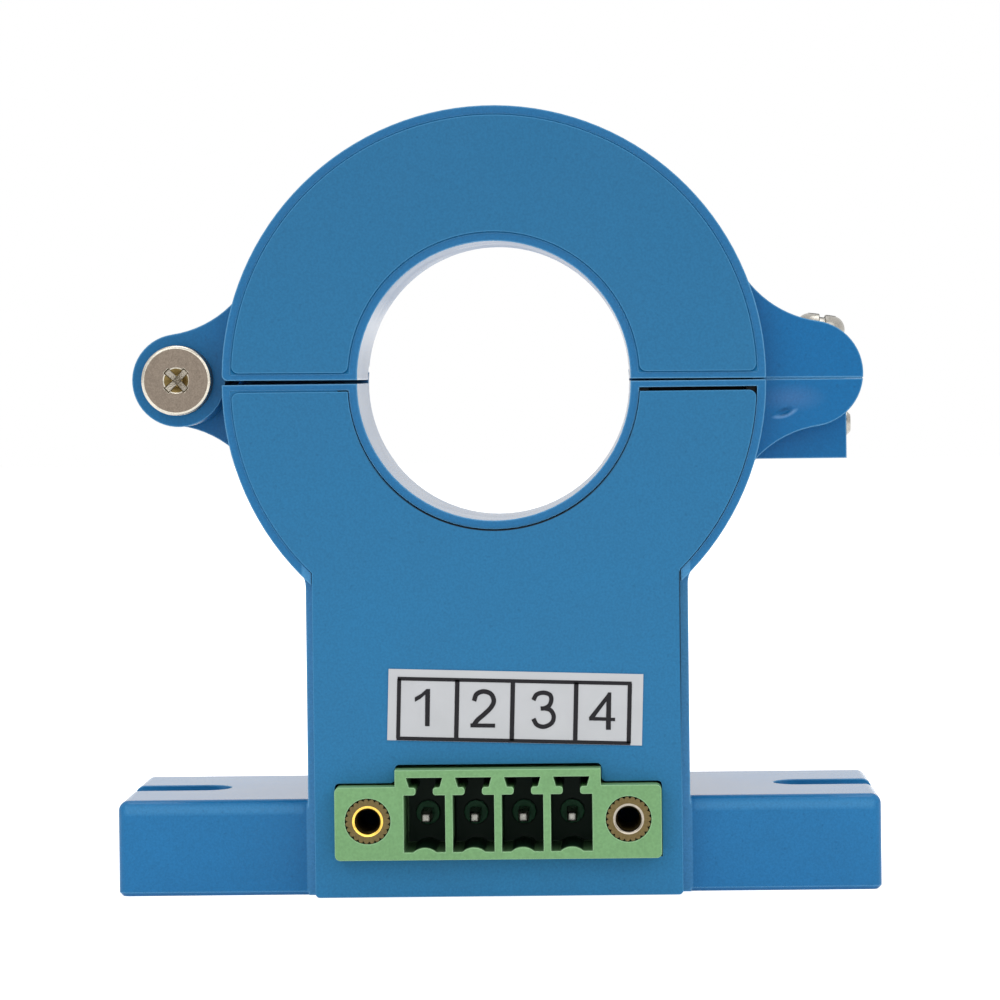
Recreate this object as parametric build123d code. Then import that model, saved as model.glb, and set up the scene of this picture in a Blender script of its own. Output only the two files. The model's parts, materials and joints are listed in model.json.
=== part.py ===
from build123d import *
import math
import os

# Split-core current transformer, in millimetres.
# +Z is up, the front faces -Y, and the origin is the middle of the base's underside.

# Base, neck and ring
BASE_WIDTH = 60.0
BASE_DEPTH = 20.0
FOOT_HEIGHT = 7.5
RING_R = 21.2
WINDOW_R = 10.65
RING_Z = 40.0
RING_DEPTH = 16.0
COLLAR_HEIGHT = 2.0
SHOULDER_Z = 18.0
NECK_FILLET = 2.0
HALF_OVERRUN = 0.12

# Foot slots and roundings
SLOT_SPACING = 48.0
SLOT_WIDTH = 4.2
FOOT_ROUND = 0.8
FOOT_SOLE_EDGE = 0.3

# Walls, lips and cover fits
WALL = 1.5
BACK_WALL = 1.6
FLOOR = 1.5
LIP = 0.68
PARTING_LIP = 0.5
COLLAR_CORNER = 0.45
TONGUE_HEIGHT = 0.9
TONGUE_THICK = 0.8
TONGUE_GAP = 0.12
COVER_PROUD = 0.2
COVER_GAP = 0.06
COVER_TOP_GAP_LEFT = 0.1
COVER_TOP_GAP_RIGHT = 0.3
COVER_CORNER = 0.55
PLATE_RIM = 0.65
PLATE_LIFT = 0.05
PLATE_CORNER = 0.35

# Closed jaw: the gap at the latch and the tilt that opens it towards the hinge
JAW_GAP = 0.12
JAW_TILT = 0.29

# Hinge
EAR_R = 3.65
HINGE_REACH = 3.57
EAR_GAP = 0.1
EAR_FRONT_THICK = 5.0
EAR_SIDE_GAP = 0.15
HINGE_SCREW_LENGTH = 12.0
FLANK_R = 8.3
FLANK_LEAN = 8.0
HINGE_RISE = 0.53
HINGE_SCREW_R = 1.5
HINGE_HEAD_R = 2.73
HINGE_HEAD_HEIGHT = 2.0
HINGE_HEAD_EDGE = 0.25
HINGE_HOLE_GAP = 0.06
HINGE_RECESS = 2.24
HINGE_RECESS_ARM = 0.55
HINGE_RECESS_DEPTH = 1.3
HINGE_NUT_FLATS = 5.5
HINGE_NUT_HEIGHT = 2.4

# Latch
WING_R = 4.15
WING_X = 24.75
WING_RISE = 0.55
WING_PLATE = 2.5
SCREW_LEAN = 8.0
SCREW_OFFSET = 1.03
SCREW_SETBACK = 6.0
SEAT_HEIGHT = 3.2
CLAMP_SCREW_R = 1.0
CLAMP_SCREW_LENGTH = 8.0
CLAMP_HEAD_R = 2.0
CLAMP_HEAD_HEIGHT = 1.6
CLAMP_HEAD_EDGE = 0.6
CLAMP_SLOT = 0.55
CLAMP_SLOT_DEPTH = 0.55
CLAMP_RECESS = 2.0
CLAMP_RECESS_ARM = 0.5
CLAMP_RECESS_DEPTH = 1.0
CLAMP_HOLE_GAP = 0.15
WASHER_R = 2.0
WASHER_THICK = 0.3
RUNNING_GAP = 0.06
CLAMP_NUT_FLATS = 4.0
CLAMP_NUT_HEIGHT = 1.6
NUT_DEPTH = 7.0
NUT_GAP = 0.06
BLOCK_SIDE_WALL = 0.8
BLOCK_FLOOR = 1.8
PIN_R = 0.75
PIN_HEAD_R = 1.0
PIN_HEAD_HEIGHT = 0.7
PIN_HEAD_EDGE = 0.3
PIN_GAP = 0.02
PIN_BITE = 0.8

# Magnetic core and sensing board
CORE_GAP = 0.25
CORE_DEPTH = 11.0
POLE_RECESS = 0.1
POLE_GAP = 0.1
HALL_BOARD_THICK = 0.8
HALL_BOARD_WIDTH = 6.0
HALL_TAB = 3.0
HALL_THICK = 1.1
HALL_SIZE = 3.0
HALL_AIR = 0.2
HALL_SLOT_GAP = 0.5

# Main board and its parts
BOARD_THICK = 1.6
BOARD_GAP = 0.2
TAIL = 0.5
AMPLIFIER = (4.9, 3.9, 1.5)
AMPLIFIER_LEG = (0.4, 1.0, 0.25)
AMPLIFIER_PITCH = 1.27
CAPACITOR_R = 2.0
CAPACITOR_HEIGHT = 5.4
RESISTOR = (2.0, 1.25, 0.5)
RESISTOR_PITCH = 2.4
RESISTORS = 4

# Plug-in terminal header
WAYS = 4
PITCH = 3.81
PARTITION = 0.58
HEADER_SIDE = 0.76
HEADER_HEIGHT = 7.0
HEADER_DEPTH = 9.2
HEADER_PROUD = 1.5
HEADER_ROOM = 0.8
HEADER_SKIN = 0.6
FLANGE_LENGTH = 4.7
FLANGE_HEIGHT = 5.7
FLANGE_ROUND = 0.42
CAVITY_DEPTH = 7.0
KEY_DROP = 1.36
KEY_BAR = 0.6
KEY_REACH = 0.94
KEY_STEM_TOP = 0.2
KEY_STEM_LOW = 0.42
KEY_ROUND = 0.22
BUMP_HALF = 0.9
BUMP_HEIGHT = 0.34
BOSS_R = 0.95
BOSS_SIDES = 12
BOSS_HEIGHT = 0.4
CONTACT = 0.8
CONTACT_TIP = 0.56
CONTACT_TAPER = 0.6
CONTACT_SETBACK = 2.5
CONTACT_HEIGHT = 3.0
CONTACT_EXIT = 0.4
INSERT_SPACING = 20.26
INSERT_HEIGHT = 3.05
INSERT_R = 1.78
INSERT_BORE_R = 1.0
INSERT_CHAMFER = 0.2
INSERT_LENGTH = 6.0
INSERT_RELIEF = 0.3
CUTOUT_TOP = 0.28
CUTOUT_FLANGE = 0.16
CUTOUT_SIDE = 0.06
CUTOUT_ROUND = 0.35

# Number label
LABEL_WIDTH = 19.85
LABEL_HEIGHT = 5.56
LABEL_THICK = 0.1
LABEL_X = 1.4
LABEL_Z = 14.8
LABEL_TURN = -1.8

# Planes and centres worked out from the sizes above
BASE_FRONT = -BASE_DEPTH / 2
BASE_BACK = BASE_DEPTH / 2
RING_FRONT = BASE_FRONT - COLLAR_HEIGHT
RING_BACK = RING_FRONT + RING_DEPTH
COVER_FRONT = RING_FRONT - COVER_PROUD
EAR_BACK = BASE_FRONT + HINGE_SCREW_LENGTH
LOWER_FACE = RING_Z + HALF_OVERRUN
UPPER_FACE = LOWER_FACE + JAW_GAP
UPPER_Z = UPPER_FACE + HALF_OVERRUN
HINGE_X = -(RING_R + HINGE_REACH)
HINGE_Z = RING_Z + HINGE_RISE
WING_Z = RING_Z + WING_RISE
CORE_IN = WINDOW_R + WALL + CORE_GAP
CORE_OUT = RING_R - WALL - CORE_GAP
CORE_BACK = RING_BACK - BACK_WALL
CORE_FRONT = CORE_BACK - CORE_DEPTH
CORE_MID = (CORE_FRONT + CORE_BACK) / 2
BOARD_TOP = FLOOR + BOARD_THICK
HEADER_FRONT = COVER_FRONT - HEADER_PROUD
HEADER_BACK = HEADER_FRONT + HEADER_DEPTH
HEADER_HALF = (WAYS * PITCH + HEADER_SIDE) / 2
FLANGE_HALF = HEADER_HALF + FLANGE_LENGTH
NECK_HALF = FLANGE_HALF + HEADER_ROOM + WALL
PLATE_HALF = NECK_HALF - PLATE_RIM
HEADER_TOP = BOARD_TOP + HEADER_HEIGHT
FLANGE_TOP = BOARD_TOP + FLANGE_HEIGHT
CONTACT_Z = BOARD_TOP + CONTACT_HEIGHT
TAIL_Y = HEADER_BACK + CONTACT_EXIT + CONTACT / 2
SCREW_Y = BASE_FRONT + SCREW_SETBACK
BLOCK_FRONT = BASE_FRONT + WING_PLATE

# Frames: the jaw turned about the latch end of its face, and the leaning clamp screw
JAW_PIVOT = Pos(WING_X, 0, UPPER_FACE)
JAW_PLACE = JAW_PIVOT * Rot(0, JAW_TILT, 0) * JAW_PIVOT.inverse()
SCREW_SEAT = Pos(WING_X + SCREW_OFFSET, SCREW_Y, UPPER_FACE + SEAT_HEIGHT)
SCREW_FRAME = SCREW_SEAT * Rot(0, SCREW_LEAN - JAW_TILT, 0)
CLAMP_FRAME = JAW_PLACE * SCREW_FRAME
NUT_CENTRE = (CLAMP_FRAME * Pos(0, 0, -NUT_DEPTH)).position
BLOCK_X = NUT_CENTRE.X + CLAMP_NUT_FLATS / 2 + NUT_GAP + BLOCK_SIDE_WALL
BLOCK_BOTTOM = NUT_CENTRE.Z - CLAMP_NUT_HEIGHT / 2 - NUT_GAP - BLOCK_FLOOR
PIN_Y = NUT_CENTRE.Y + CLAMP_NUT_FLATS / math.sqrt(3) + NUT_GAP + PIN_R
BIG = 2 * (BASE_WIDTH + RING_Z + RING_R)


# Small helpers

def disc(x, z, r):
    return Pos(x, z) * Circle(r)


def area(x0, x1, z0, z1):
    return Pos((x0 + x1) / 2, (z0 + z1) / 2) * Rectangle(x1 - x0, z1 - z0)


def slab(outline, front, back):
    """Front-view outline (x, z) made solid from y = front to y = back."""
    return extrude(Plane.XZ.offset(-back) * outline, amount=back - front)


def block(x0, x1, y0, y1, z0, z1):
    return Pos((x0 + x1) / 2, (y0 + y1) / 2, (z0 + z1) / 2) * Box(x1 - x0, y1 - y0, z1 - z0)


def post(r, z0, z1):
    return Pos(0, 0, (z0 + z1) / 2) * Cylinder(r, z1 - z0)


def solid_of(shape):
    """The one solid of a boolean result."""
    solids = shape.solids()
    assert len(solids) == 1, f"{len(solids)} solids"
    return solids[0]


def save(name, shape):
    shape.label = name
    export_step(shape, f"parts/{name}.step")


def polygon(*points):
    """Filled outline through the points, always taken anticlockwise."""
    sides = zip(points, points[1:] + points[:1])
    turn = sum(a[0] * b[1] - b[0] * a[1] for a, b in sides)
    return Polygon(*(points if turn > 0 else points[::-1]), align=None)


def flank(x, z, r, centre_z, side):
    """Filling between a lobe and the ring, hollowed by an arc tangent to the lobe."""
    lean = math.radians(FLANK_LEAN)
    fx = x + math.copysign((r + FLANK_R) * math.sin(lean), x)
    fz = z + side * (r + FLANK_R) * math.cos(lean)
    return polygon((x, z), (fx, fz), (0, centre_z)) - disc(fx, fz, FLANK_R)


def neck_corner(side):
    """Filling between the neck's side and the ring, hollowed by a tangent arc."""
    fx = NECK_HALF + NECK_FILLET
    fz = RING_Z - math.sqrt((RING_R + NECK_FILLET) ** 2 - fx ** 2)
    web = polygon((side * (fx - 2 * NECK_FILLET), fz), (side * fx, fz), (0, RING_Z))
    return web - disc(side * fx, fz, NECK_FILLET)


def ring_band(centre_z, inset):
    """Ring seen from the front, drawn in from both edges by inset."""
    return disc(0, centre_z, RING_R - inset) - disc(0, centre_z, WINDOW_R + inset)


def below(z):
    return area(-BIG, BIG, -BIG, z)


def above(z):
    return area(-BIG, BIG, z, BIG)


def untilted(x, z):
    """A front-view place in the world, given in the jaw's own frame before its tilt."""
    point = (JAW_PLACE.inverse() * Pos(x, 0, z)).position
    return point.X, point.Z


def pole_window(face_z, depth_z, side):
    """Opening in a parting wall for one end of the core."""
    x0 = side * (CORE_IN - POLE_GAP)
    x1 = side * (CORE_OUT + POLE_GAP)
    z0, z1 = sorted((face_z, depth_z))
    y0 = CORE_FRONT - POLE_GAP
    return block(min(x0, x1), max(x0, x1), y0, CORE_BACK, z0 - CORE_GAP, z1 + CORE_GAP)


# Lower housing: half ring, neck and slotted feet, moulded as one tray open at the front

def lower_cover_region(grow):
    """Front-view space of the lower cover, grown on its sides by grow."""
    ring = ring_band(RING_Z, LIP + COVER_GAP - grow) & below(LOWER_FACE - PARTING_LIP)
    half = PLATE_HALF + grow
    return ring + area(-half, half, -BIG, RING_Z - WINDOW_R - LIP - 1)


def foot(side):
    """One foot with its screw slot open at the outer end."""
    body = block(0, BASE_WIDTH / 2, BASE_FRONT, BASE_BACK, 0, FOOT_HEIGHT)
    uprights = body.edges().filter_by(Axis.Z).sort_by(Axis.X)[-2:]
    tops = body.edges().group_by(Axis.Z)[-1].sort_by(Axis.X)[1:]
    body = fillet(uprights + tops, FOOT_ROUND)
    sole = body.edges().group_by(Axis.Z)[0].filter_by(lambda edge: edge.center().X > SLOT_SPACING / 2)
    body = chamfer(sole, FOOT_SOLE_EDGE)
    inner = SLOT_SPACING / 2
    slot = Pos(inner, 0, FOOT_HEIGHT / 2) * Cylinder(SLOT_WIDTH / 2, 2 * FOOT_HEIGHT)
    slot += block(inner, BASE_WIDTH, -SLOT_WIDTH / 2, SLOT_WIDTH / 2, -FOOT_HEIGHT, 2 * FOOT_HEIGHT)
    body -= slot
    return body if side > 0 else mirror(body, about=Plane.YZ)


def lower_shell():
    """Outside form of the lower housing before it is hollowed."""
    outline = disc(0, RING_Z, RING_R) + area(-NECK_HALF, NECK_HALF, 0, RING_Z)
    outline += neck_corner(1) + neck_corner(-1)
    body = slab(outline & below(LOWER_FACE), BASE_FRONT, RING_BACK)
    collar = (disc(0, RING_Z, RING_R) - lower_cover_region(COVER_GAP)) & below(LOWER_FACE)
    body += slab(collar, RING_FRONT, BASE_FRONT)
    rise = BASE_BACK - RING_BACK
    heel = polygon((RING_BACK, 0), (BASE_BACK, 0), (BASE_BACK, SHOULDER_Z),
                   (RING_BACK, SHOULDER_Z + rise))
    heel_plane = Plane.YZ.offset(-NECK_HALF)
    body += extrude(heel_plane * heel, amount=2 * NECK_HALF)
    body += foot(1) + foot(-1)
    return body


def lower_ear():
    lobe = disc(HINGE_X, HINGE_Z, EAR_R)
    web = flank(HINGE_X, HINGE_Z, EAR_R, RING_Z, -1) & below(LOWER_FACE)
    front = BASE_FRONT + EAR_FRONT_THICK + EAR_SIDE_GAP
    return slab(lobe, front, EAR_BACK) + slab(web, front, EAR_BACK)


def lower_wing():
    """Front plate of the latch and the block that holds the clamp nut."""
    lobe = disc(WING_X, WING_Z, WING_R) + flank(WING_X, WING_Z, WING_R, RING_Z, -1)
    plate = slab(lobe & below(LOWER_FACE), BASE_FRONT, BLOCK_FRONT)
    body = area(0, BLOCK_X, BLOCK_BOTTOM, LOWER_FACE) - disc(0, RING_Z, RING_R - WALL / 2)
    return plate + slab(body, BLOCK_FRONT, EAR_BACK)


def lower_hollows():
    """Everything taken out of the lower housing."""
    window = slab(disc(0, RING_Z, WINDOW_R), RING_FRONT - 1, RING_BACK + 1)
    ring = slab(ring_band(RING_Z, WALL) & below(LOWER_FACE - PARTING_LIP), BASE_FRONT - 1, CORE_BACK)
    half = NECK_HALF - WALL
    neck_area = area(-half, half, FLOOR, RING_Z) - disc(0, RING_Z, RING_R)
    neck = slab(neck_area, BASE_FRONT - 1, RING_BACK - BACK_WALL)
    deep = block(-half, half, BASE_FRONT, BASE_BACK - BACK_WALL, FLOOR, SHOULDER_Z - FLOOR)
    hall_half = HALL_BOARD_THICK + HALL_THICK + HALL_SLOT_GAP
    y0 = CORE_MID - HALL_BOARD_WIDTH / 2 - HALL_SLOT_GAP
    hall = block(-hall_half, hall_half, y0, CORE_BACK, RING_Z - RING_R - 1, RING_Z - CORE_OUT)
    tail_half = WAYS * PITCH / 2
    tails = block(-tail_half, tail_half, TAIL_Y - CONTACT, TAIL_Y + CONTACT,
                  FLOOR - TAIL - BOARD_GAP, FLOOR + 1)
    return [window, ring, neck, deep, hall, tails]


def parting_tongue():
    """Rib along the back of the parting faces that closes the jaw's gap from behind."""
    strip = ring_band(RING_Z, 0) & area(-BIG, BIG, LOWER_FACE - PARTING_LIP, LOWER_FACE + TONGUE_HEIGHT)
    return slab(strip, RING_BACK - TONGUE_THICK, RING_BACK)


def clamp_cuts():
    """Screw hole, nut pocket open at the back, and the cross pin's hole."""
    hole = CLAMP_FRAME * post(CLAMP_SCREW_R + CLAMP_HOLE_GAP, -CLAMP_SCREW_LENGTH - 0.3, SEAT_HEIGHT)
    half = CLAMP_NUT_FLATS / 2 + NUT_GAP
    reach = CLAMP_NUT_FLATS / math.sqrt(3) + NUT_GAP
    z = CLAMP_NUT_HEIGHT / 2 + NUT_GAP
    pocket = block(-half, half, -reach, BIG / 4, -z, z)
    pocket = CLAMP_FRAME * Pos(0, 0, -NUT_DEPTH) * pocket
    x0 = NUT_CENTRE.X - half - PIN_BITE
    length = BLOCK_X + 1 - x0
    pin = Pos(x0 + length / 2, PIN_Y, NUT_CENTRE.Z) * Rot(0, 90, 0) * Cylinder(PIN_R + PIN_GAP, length)
    return [hole, pocket, pin]


def hinge_post(r, front, back):
    return slab(disc(HINGE_X, HINGE_Z, r), front, back)


def hinge_hexagon(flats, front, back):
    shape = Pos(HINGE_X, HINGE_Z) * RegularPolygon(flats / 2, 6, major_radius=False)
    return slab(shape, front, back)


def make_lower_housing():
    body = lower_shell() + lower_wing() + parting_tongue()
    body -= hinge_post(EAR_R + EAR_GAP, BASE_FRONT, BASE_FRONT + EAR_FRONT_THICK + EAR_SIDE_GAP)
    body += lower_ear()
    for cut in lower_hollows() + clamp_cuts():
        body -= cut
    for side in (-1, 1):
        body -= pole_window(LOWER_FACE, LOWER_FACE - PARTING_LIP, side)
    body -= hinge_post(HINGE_SCREW_R + HINGE_HOLE_GAP, BASE_FRONT, RING_BACK)
    pocket_front = EAR_BACK - HINGE_NUT_HEIGHT - BOARD_GAP
    body -= hinge_hexagon(HINGE_NUT_FLATS + 2 * HINGE_HOLE_GAP, pocket_front, RING_BACK)
    return solid_of(body)


# Covers

def header_outline(side, top, flange):
    """Front view of the header, grown by the given clearances."""
    main = area(-HEADER_HALF - side, HEADER_HALF + side, BOARD_TOP - side, HEADER_TOP + top)
    low = area(-FLANGE_HALF - side, FLANGE_HALF + side, BOARD_TOP - side, FLANGE_TOP + flange)
    return main + low


def make_lower_cover():
    """Flat front plate over the half ring and the neck, with the header's cut-out."""
    outline = lower_cover_region(0)
    outline -= area(-BIG, 0, LOWER_FACE - PARTING_LIP - COVER_TOP_GAP_LEFT, BIG)
    outline -= area(0, BIG, LOWER_FACE - PARTING_LIP - COVER_TOP_GAP_RIGHT, BIG)
    outline -= below(PLATE_LIFT)
    tops = outline.vertices().filter_by(lambda v: v.Y > RING_Z - RING_R / 4 and abs(v.X) > CORE_OUT - 1)
    outline = fillet(tops, COVER_CORNER)
    outline = fillet(outline.vertices().filter_by(lambda v: v.Y < FLOOR), PLATE_CORNER)
    cutout = header_outline(CUTOUT_SIDE, CUTOUT_TOP, CUTOUT_FLANGE)
    cutout = fillet(cutout.vertices().filter_by(lambda v: v.Y > BOARD_TOP + 1), CUTOUT_ROUND)
    return solid_of(slab(outline - cutout, COVER_FRONT, BASE_FRONT))


def make_upper_cover():
    """Flat half-ring plate, built in the jaw's own frame."""
    bottom = UPPER_FACE + PARTING_LIP + COVER_GAP
    outline = ring_band(UPPER_Z, LIP + COVER_GAP) & above(bottom)
    outline = fillet(outline.vertices(), COVER_CORNER)
    return solid_of(JAW_PLACE * slab(outline, COVER_FRONT, BASE_FRONT))


# Upper housing: half ring with the front hinge ear and the latch wing

def upper_ear():
    x, z = untilted(HINGE_X, HINGE_Z)
    back = BASE_FRONT + EAR_FRONT_THICK
    web = flank(x, z, EAR_R, UPPER_Z, 1) & above(UPPER_FACE)
    return slab(disc(x, z, EAR_R), BASE_FRONT, back) + slab(web, BASE_FRONT, back)


def upper_wing():
    """Front plate of the latch and the block with the inclined screw seat."""
    lobe = disc(WING_X, WING_Z, WING_R) + flank(WING_X, WING_Z, WING_R, UPPER_Z, 1)
    plate = slab(lobe & above(UPPER_FACE), BASE_FRONT, BLOCK_FRONT)
    body = area(0, BLOCK_X, UPPER_FACE, UPPER_FACE + 2 * SEAT_HEIGHT)
    body = slab(body - disc(0, UPPER_Z, RING_R - WALL / 2), BLOCK_FRONT, EAR_BACK)
    body -= SCREW_FRAME * block(-BIG, BIG, -BIG, BIG, 0, BIG)
    return plate + body


def make_upper_housing():
    outline = disc(0, UPPER_Z, RING_R) & above(UPPER_FACE)
    body = slab(outline, BASE_FRONT, RING_BACK)
    pocket = ring_band(UPPER_Z, LIP) & above(UPPER_FACE + PARTING_LIP)
    collar = fillet(outline.vertices().sort_by(Axis.X)[0], COLLAR_CORNER)
    body += slab(collar - pocket, RING_FRONT, BASE_FRONT)
    x, z = untilted(HINGE_X, HINGE_Z)
    body -= slab(disc(x, z, EAR_R + EAR_GAP), BASE_FRONT + EAR_FRONT_THICK, RING_BACK)
    body += upper_ear() + upper_wing()
    body -= slab(disc(0, UPPER_Z, WINDOW_R), RING_FRONT - 1, RING_BACK + 1)
    body -= slab(ring_band(UPPER_Z, WALL) & above(UPPER_FACE + PARTING_LIP), BASE_FRONT - 1, CORE_BACK)
    for side in (-1, 1):
        body -= pole_window(UPPER_FACE, UPPER_FACE + PARTING_LIP, side)
    body -= block(-BIG, BIG, RING_BACK - TONGUE_THICK - TONGUE_GAP, RING_BACK + 1,
                  UPPER_FACE - 1, UPPER_FACE + TONGUE_HEIGHT + TONGUE_GAP)
    hole_r = CLAMP_SCREW_R + CLAMP_HOLE_GAP
    body -= SCREW_FRAME * post(hole_r, -2 * SEAT_HEIGHT, 1)
    body = JAW_PLACE * body
    body -= hinge_post(HINGE_SCREW_R + HINGE_HOLE_GAP, RING_FRONT, RING_BACK)
    return solid_of(body)


# Magnetic core

def lower_core(side):
    """One arm of the lower core, from the air gap of the sensor to its pole face."""
    gap_half = (HALL_BOARD_THICK + HALL_THICK) / 2 + HALL_AIR
    band = disc(0, RING_Z, CORE_OUT) - disc(0, RING_Z, CORE_IN)
    keep = area(gap_half, BIG, -BIG, LOWER_FACE - POLE_RECESS)
    arm = slab(band & keep, CORE_FRONT, CORE_BACK)
    return solid_of(arm if side > 0 else mirror(arm, about=Plane.YZ))


def make_upper_core():
    band = disc(0, UPPER_Z, CORE_OUT) - disc(0, UPPER_Z, CORE_IN)
    arch = slab(band & above(UPPER_FACE + POLE_RECESS), CORE_FRONT, CORE_BACK)
    return solid_of(JAW_PLACE * arch)


# Fasteners, each made head up on the Z axis with its seat at z = 0

def cross_recess(width, arm, depth, top):
    cross = Rectangle(width, arm) + Rectangle(arm, width)
    cutter = extrude(Pos(0, 0, top - depth) * cross, amount=depth)
    cone = Pos(0, 0, top - depth / 2) * Cone(arm, width / 2, depth)
    return cutter & cone


def make_hinge_screw():
    """Cylindrical-head screw across both hinge ears."""
    head = post(HINGE_HEAD_R, 0, HINGE_HEAD_HEIGHT)
    head = chamfer(head.faces().sort_by(Axis.Z)[-1].edges(), HINGE_HEAD_EDGE)
    body = head + post(HINGE_SCREW_R, -HINGE_SCREW_LENGTH, 0)
    body -= cross_recess(HINGE_RECESS, HINGE_RECESS_ARM, HINGE_RECESS_DEPTH, HINGE_HEAD_HEIGHT)
    return solid_of(Pos(HINGE_X, BASE_FRONT, HINGE_Z) * Rot(90, 0, 0) * body)


def make_hinge_nut():
    back = EAR_BACK - BOARD_GAP / 2
    body = hinge_hexagon(HINGE_NUT_FLATS, back - HINGE_NUT_HEIGHT, back)
    body -= hinge_post(HINGE_SCREW_R + RUNNING_GAP, BASE_FRONT, RING_BACK)
    return solid_of(body)


def make_clamp_screw():
    """Pan-head screw with a straight slot and a cross recess."""
    top = CLAMP_HEAD_HEIGHT
    head = post(CLAMP_HEAD_R, 0, top)
    head = chamfer(head.faces().sort_by(Axis.Z)[-1].edges(), CLAMP_HEAD_EDGE)
    head -= block(-CLAMP_SLOT / 2, CLAMP_SLOT / 2, -BIG, BIG, top - CLAMP_SLOT_DEPTH, top + 1)
    body = head + post(CLAMP_SCREW_R, -CLAMP_SCREW_LENGTH, 0)
    body -= cross_recess(CLAMP_RECESS, CLAMP_RECESS_ARM, CLAMP_RECESS_DEPTH, top)
    return solid_of(CLAMP_FRAME * Pos(0, 0, WASHER_THICK) * body)


def make_clamp_washer():
    body = post(WASHER_R, 0, WASHER_THICK) - post(CLAMP_SCREW_R + RUNNING_GAP, -1, 1)
    return solid_of(CLAMP_FRAME * body)


def make_clamp_nut():
    shape = Rot(0, 0, 30) * RegularPolygon(CLAMP_NUT_FLATS / 2, 6, major_radius=False)
    body = extrude(Pos(0, 0, -CLAMP_NUT_HEIGHT / 2) * shape, amount=CLAMP_NUT_HEIGHT)
    body -= post(CLAMP_SCREW_R + RUNNING_GAP, -CLAMP_NUT_HEIGHT, CLAMP_NUT_HEIGHT)
    return solid_of(CLAMP_FRAME * Pos(0, 0, -NUT_DEPTH) * body)


def make_nut_pin():
    """Pin pressed in from the side behind the nut, with a chamfered head outside."""
    x0 = NUT_CENTRE.X - CLAMP_NUT_FLATS / 2 - NUT_GAP - PIN_BITE
    body = post(PIN_R, x0 - BLOCK_X, 0)
    head = post(PIN_HEAD_R, 0, PIN_HEAD_HEIGHT)
    body += chamfer(head.faces().sort_by(Axis.Z)[-1].edges(), PIN_HEAD_EDGE)
    return solid_of(Pos(BLOCK_X, PIN_Y, NUT_CENTRE.Z) * Rot(0, 90, 0) * body)


# Plug-in terminal header

def way_x(i):
    return (i - (WAYS - 1) / 2) * PITCH


def key_half(x_wall, side):
    """Coding key on one side wall of a cavity: a tapered stem with a bar at its foot."""
    top = HEADER_TOP - HEADER_SKIN
    bar_top = HEADER_TOP - KEY_DROP
    bar_low = bar_top - KEY_BAR
    stem = polygon((x_wall, top), (x_wall + side * KEY_STEM_TOP, top),
                   (x_wall + side * KEY_STEM_LOW, bar_top), (x_wall, bar_top))
    x0, x1 = sorted((x_wall, x_wall + side * KEY_REACH))
    bar = area(x0, x1, bar_low, bar_top)
    tip = x_wall + side * KEY_REACH
    bar = fillet(bar.vertices().filter_by(lambda v: abs(v.X - tip) < 0.01), KEY_ROUND)
    return stem + bar


def cavity_outline(i):
    """Front view of one cavity with its keys and the low rib on its floor."""
    half = (PITCH - PARTITION) / 2
    x = way_x(i)
    low = BOARD_TOP + HEADER_SKIN
    outline = area(x - half, x + half, low, HEADER_TOP - HEADER_SKIN)
    outline -= key_half(x - half, 1) + key_half(x + half, -1)
    bump_r = (BUMP_HALF ** 2 + BUMP_HEIGHT ** 2) / (2 * BUMP_HEIGHT)
    outline -= disc(x, low + BUMP_HEIGHT - bump_r, bump_r)
    return outline


def contact_box(x, grow):
    """Square bar space of one contact through the header's back wall."""
    half = CONTACT / 2 + grow
    return area(x - half, x + half, CONTACT_Z - half, CONTACT_Z + half)


def make_terminal_header():
    """Green header body with four cavities and a flange at each end."""
    outline = header_outline(0, 0, 0)
    ends = outline.vertices().filter_by(lambda v: abs(v.X) > FLANGE_HALF - 0.01)
    outline = fillet(ends, FLANGE_ROUND)
    body = slab(outline, HEADER_FRONT, HEADER_BACK)
    floor_y = HEADER_FRONT + CAVITY_DEPTH
    for i in range(WAYS):
        body -= slab(cavity_outline(i), HEADER_FRONT - 1, floor_y)
        boss = Pos(way_x(i), CONTACT_Z) * RegularPolygon(BOSS_R, BOSS_SIDES)
        body += slab(boss, floor_y - BOSS_HEIGHT, floor_y)
        body -= slab(contact_box(way_x(i), 0), HEADER_FRONT, HEADER_BACK + 1)
    for side in (-1, 1):
        place = (side * INSERT_SPACING / 2, BOARD_TOP + INSERT_HEIGHT)
        body -= slab(disc(*place, INSERT_R), HEADER_FRONT - 1, HEADER_FRONT + INSERT_LENGTH)
        body -= slab(disc(*place, INSERT_BORE_R + INSERT_RELIEF), HEADER_FRONT - 1, HEADER_BACK + 1)
    return solid_of(body)


def make_contact(i):
    """Square pin with a tapered tip, bent down through the board behind the header."""
    x = way_x(i)
    half = CONTACT / 2
    tip_y = HEADER_FRONT + CONTACT_SETBACK
    bar_y = tip_y + CONTACT_TAPER
    body = slab(contact_box(x, 0), bar_y, TAIL_Y + half)
    wide = Plane.XZ.offset(-bar_y) * Pos(x, CONTACT_Z) * Rectangle(CONTACT, CONTACT)
    narrow = Plane.XZ.offset(-tip_y) * Pos(x, CONTACT_Z) * Rectangle(CONTACT_TIP, CONTACT_TIP)
    body += loft([wide, narrow])
    body += block(x - half, x + half, TAIL_Y - half, TAIL_Y + half, FLOOR - TAIL, CONTACT_Z + half)
    return solid_of(body)


def make_insert(side):
    """Threaded brass insert of one flange."""
    body = post(INSERT_R, -INSERT_LENGTH, 0) - post(INSERT_BORE_R, -INSERT_LENGTH - 1, 1)
    rim = body.faces().sort_by(Axis.Z)[-1].edges().sort_by(SortBy.RADIUS)[0]
    body = chamfer(rim, INSERT_CHAMFER)
    place = Pos(side * INSERT_SPACING / 2, HEADER_FRONT, BOARD_TOP + INSERT_HEIGHT)
    return solid_of(place * Rot(90, 0, 0) * body)


# Circuit boards and what is soldered to them

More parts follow.
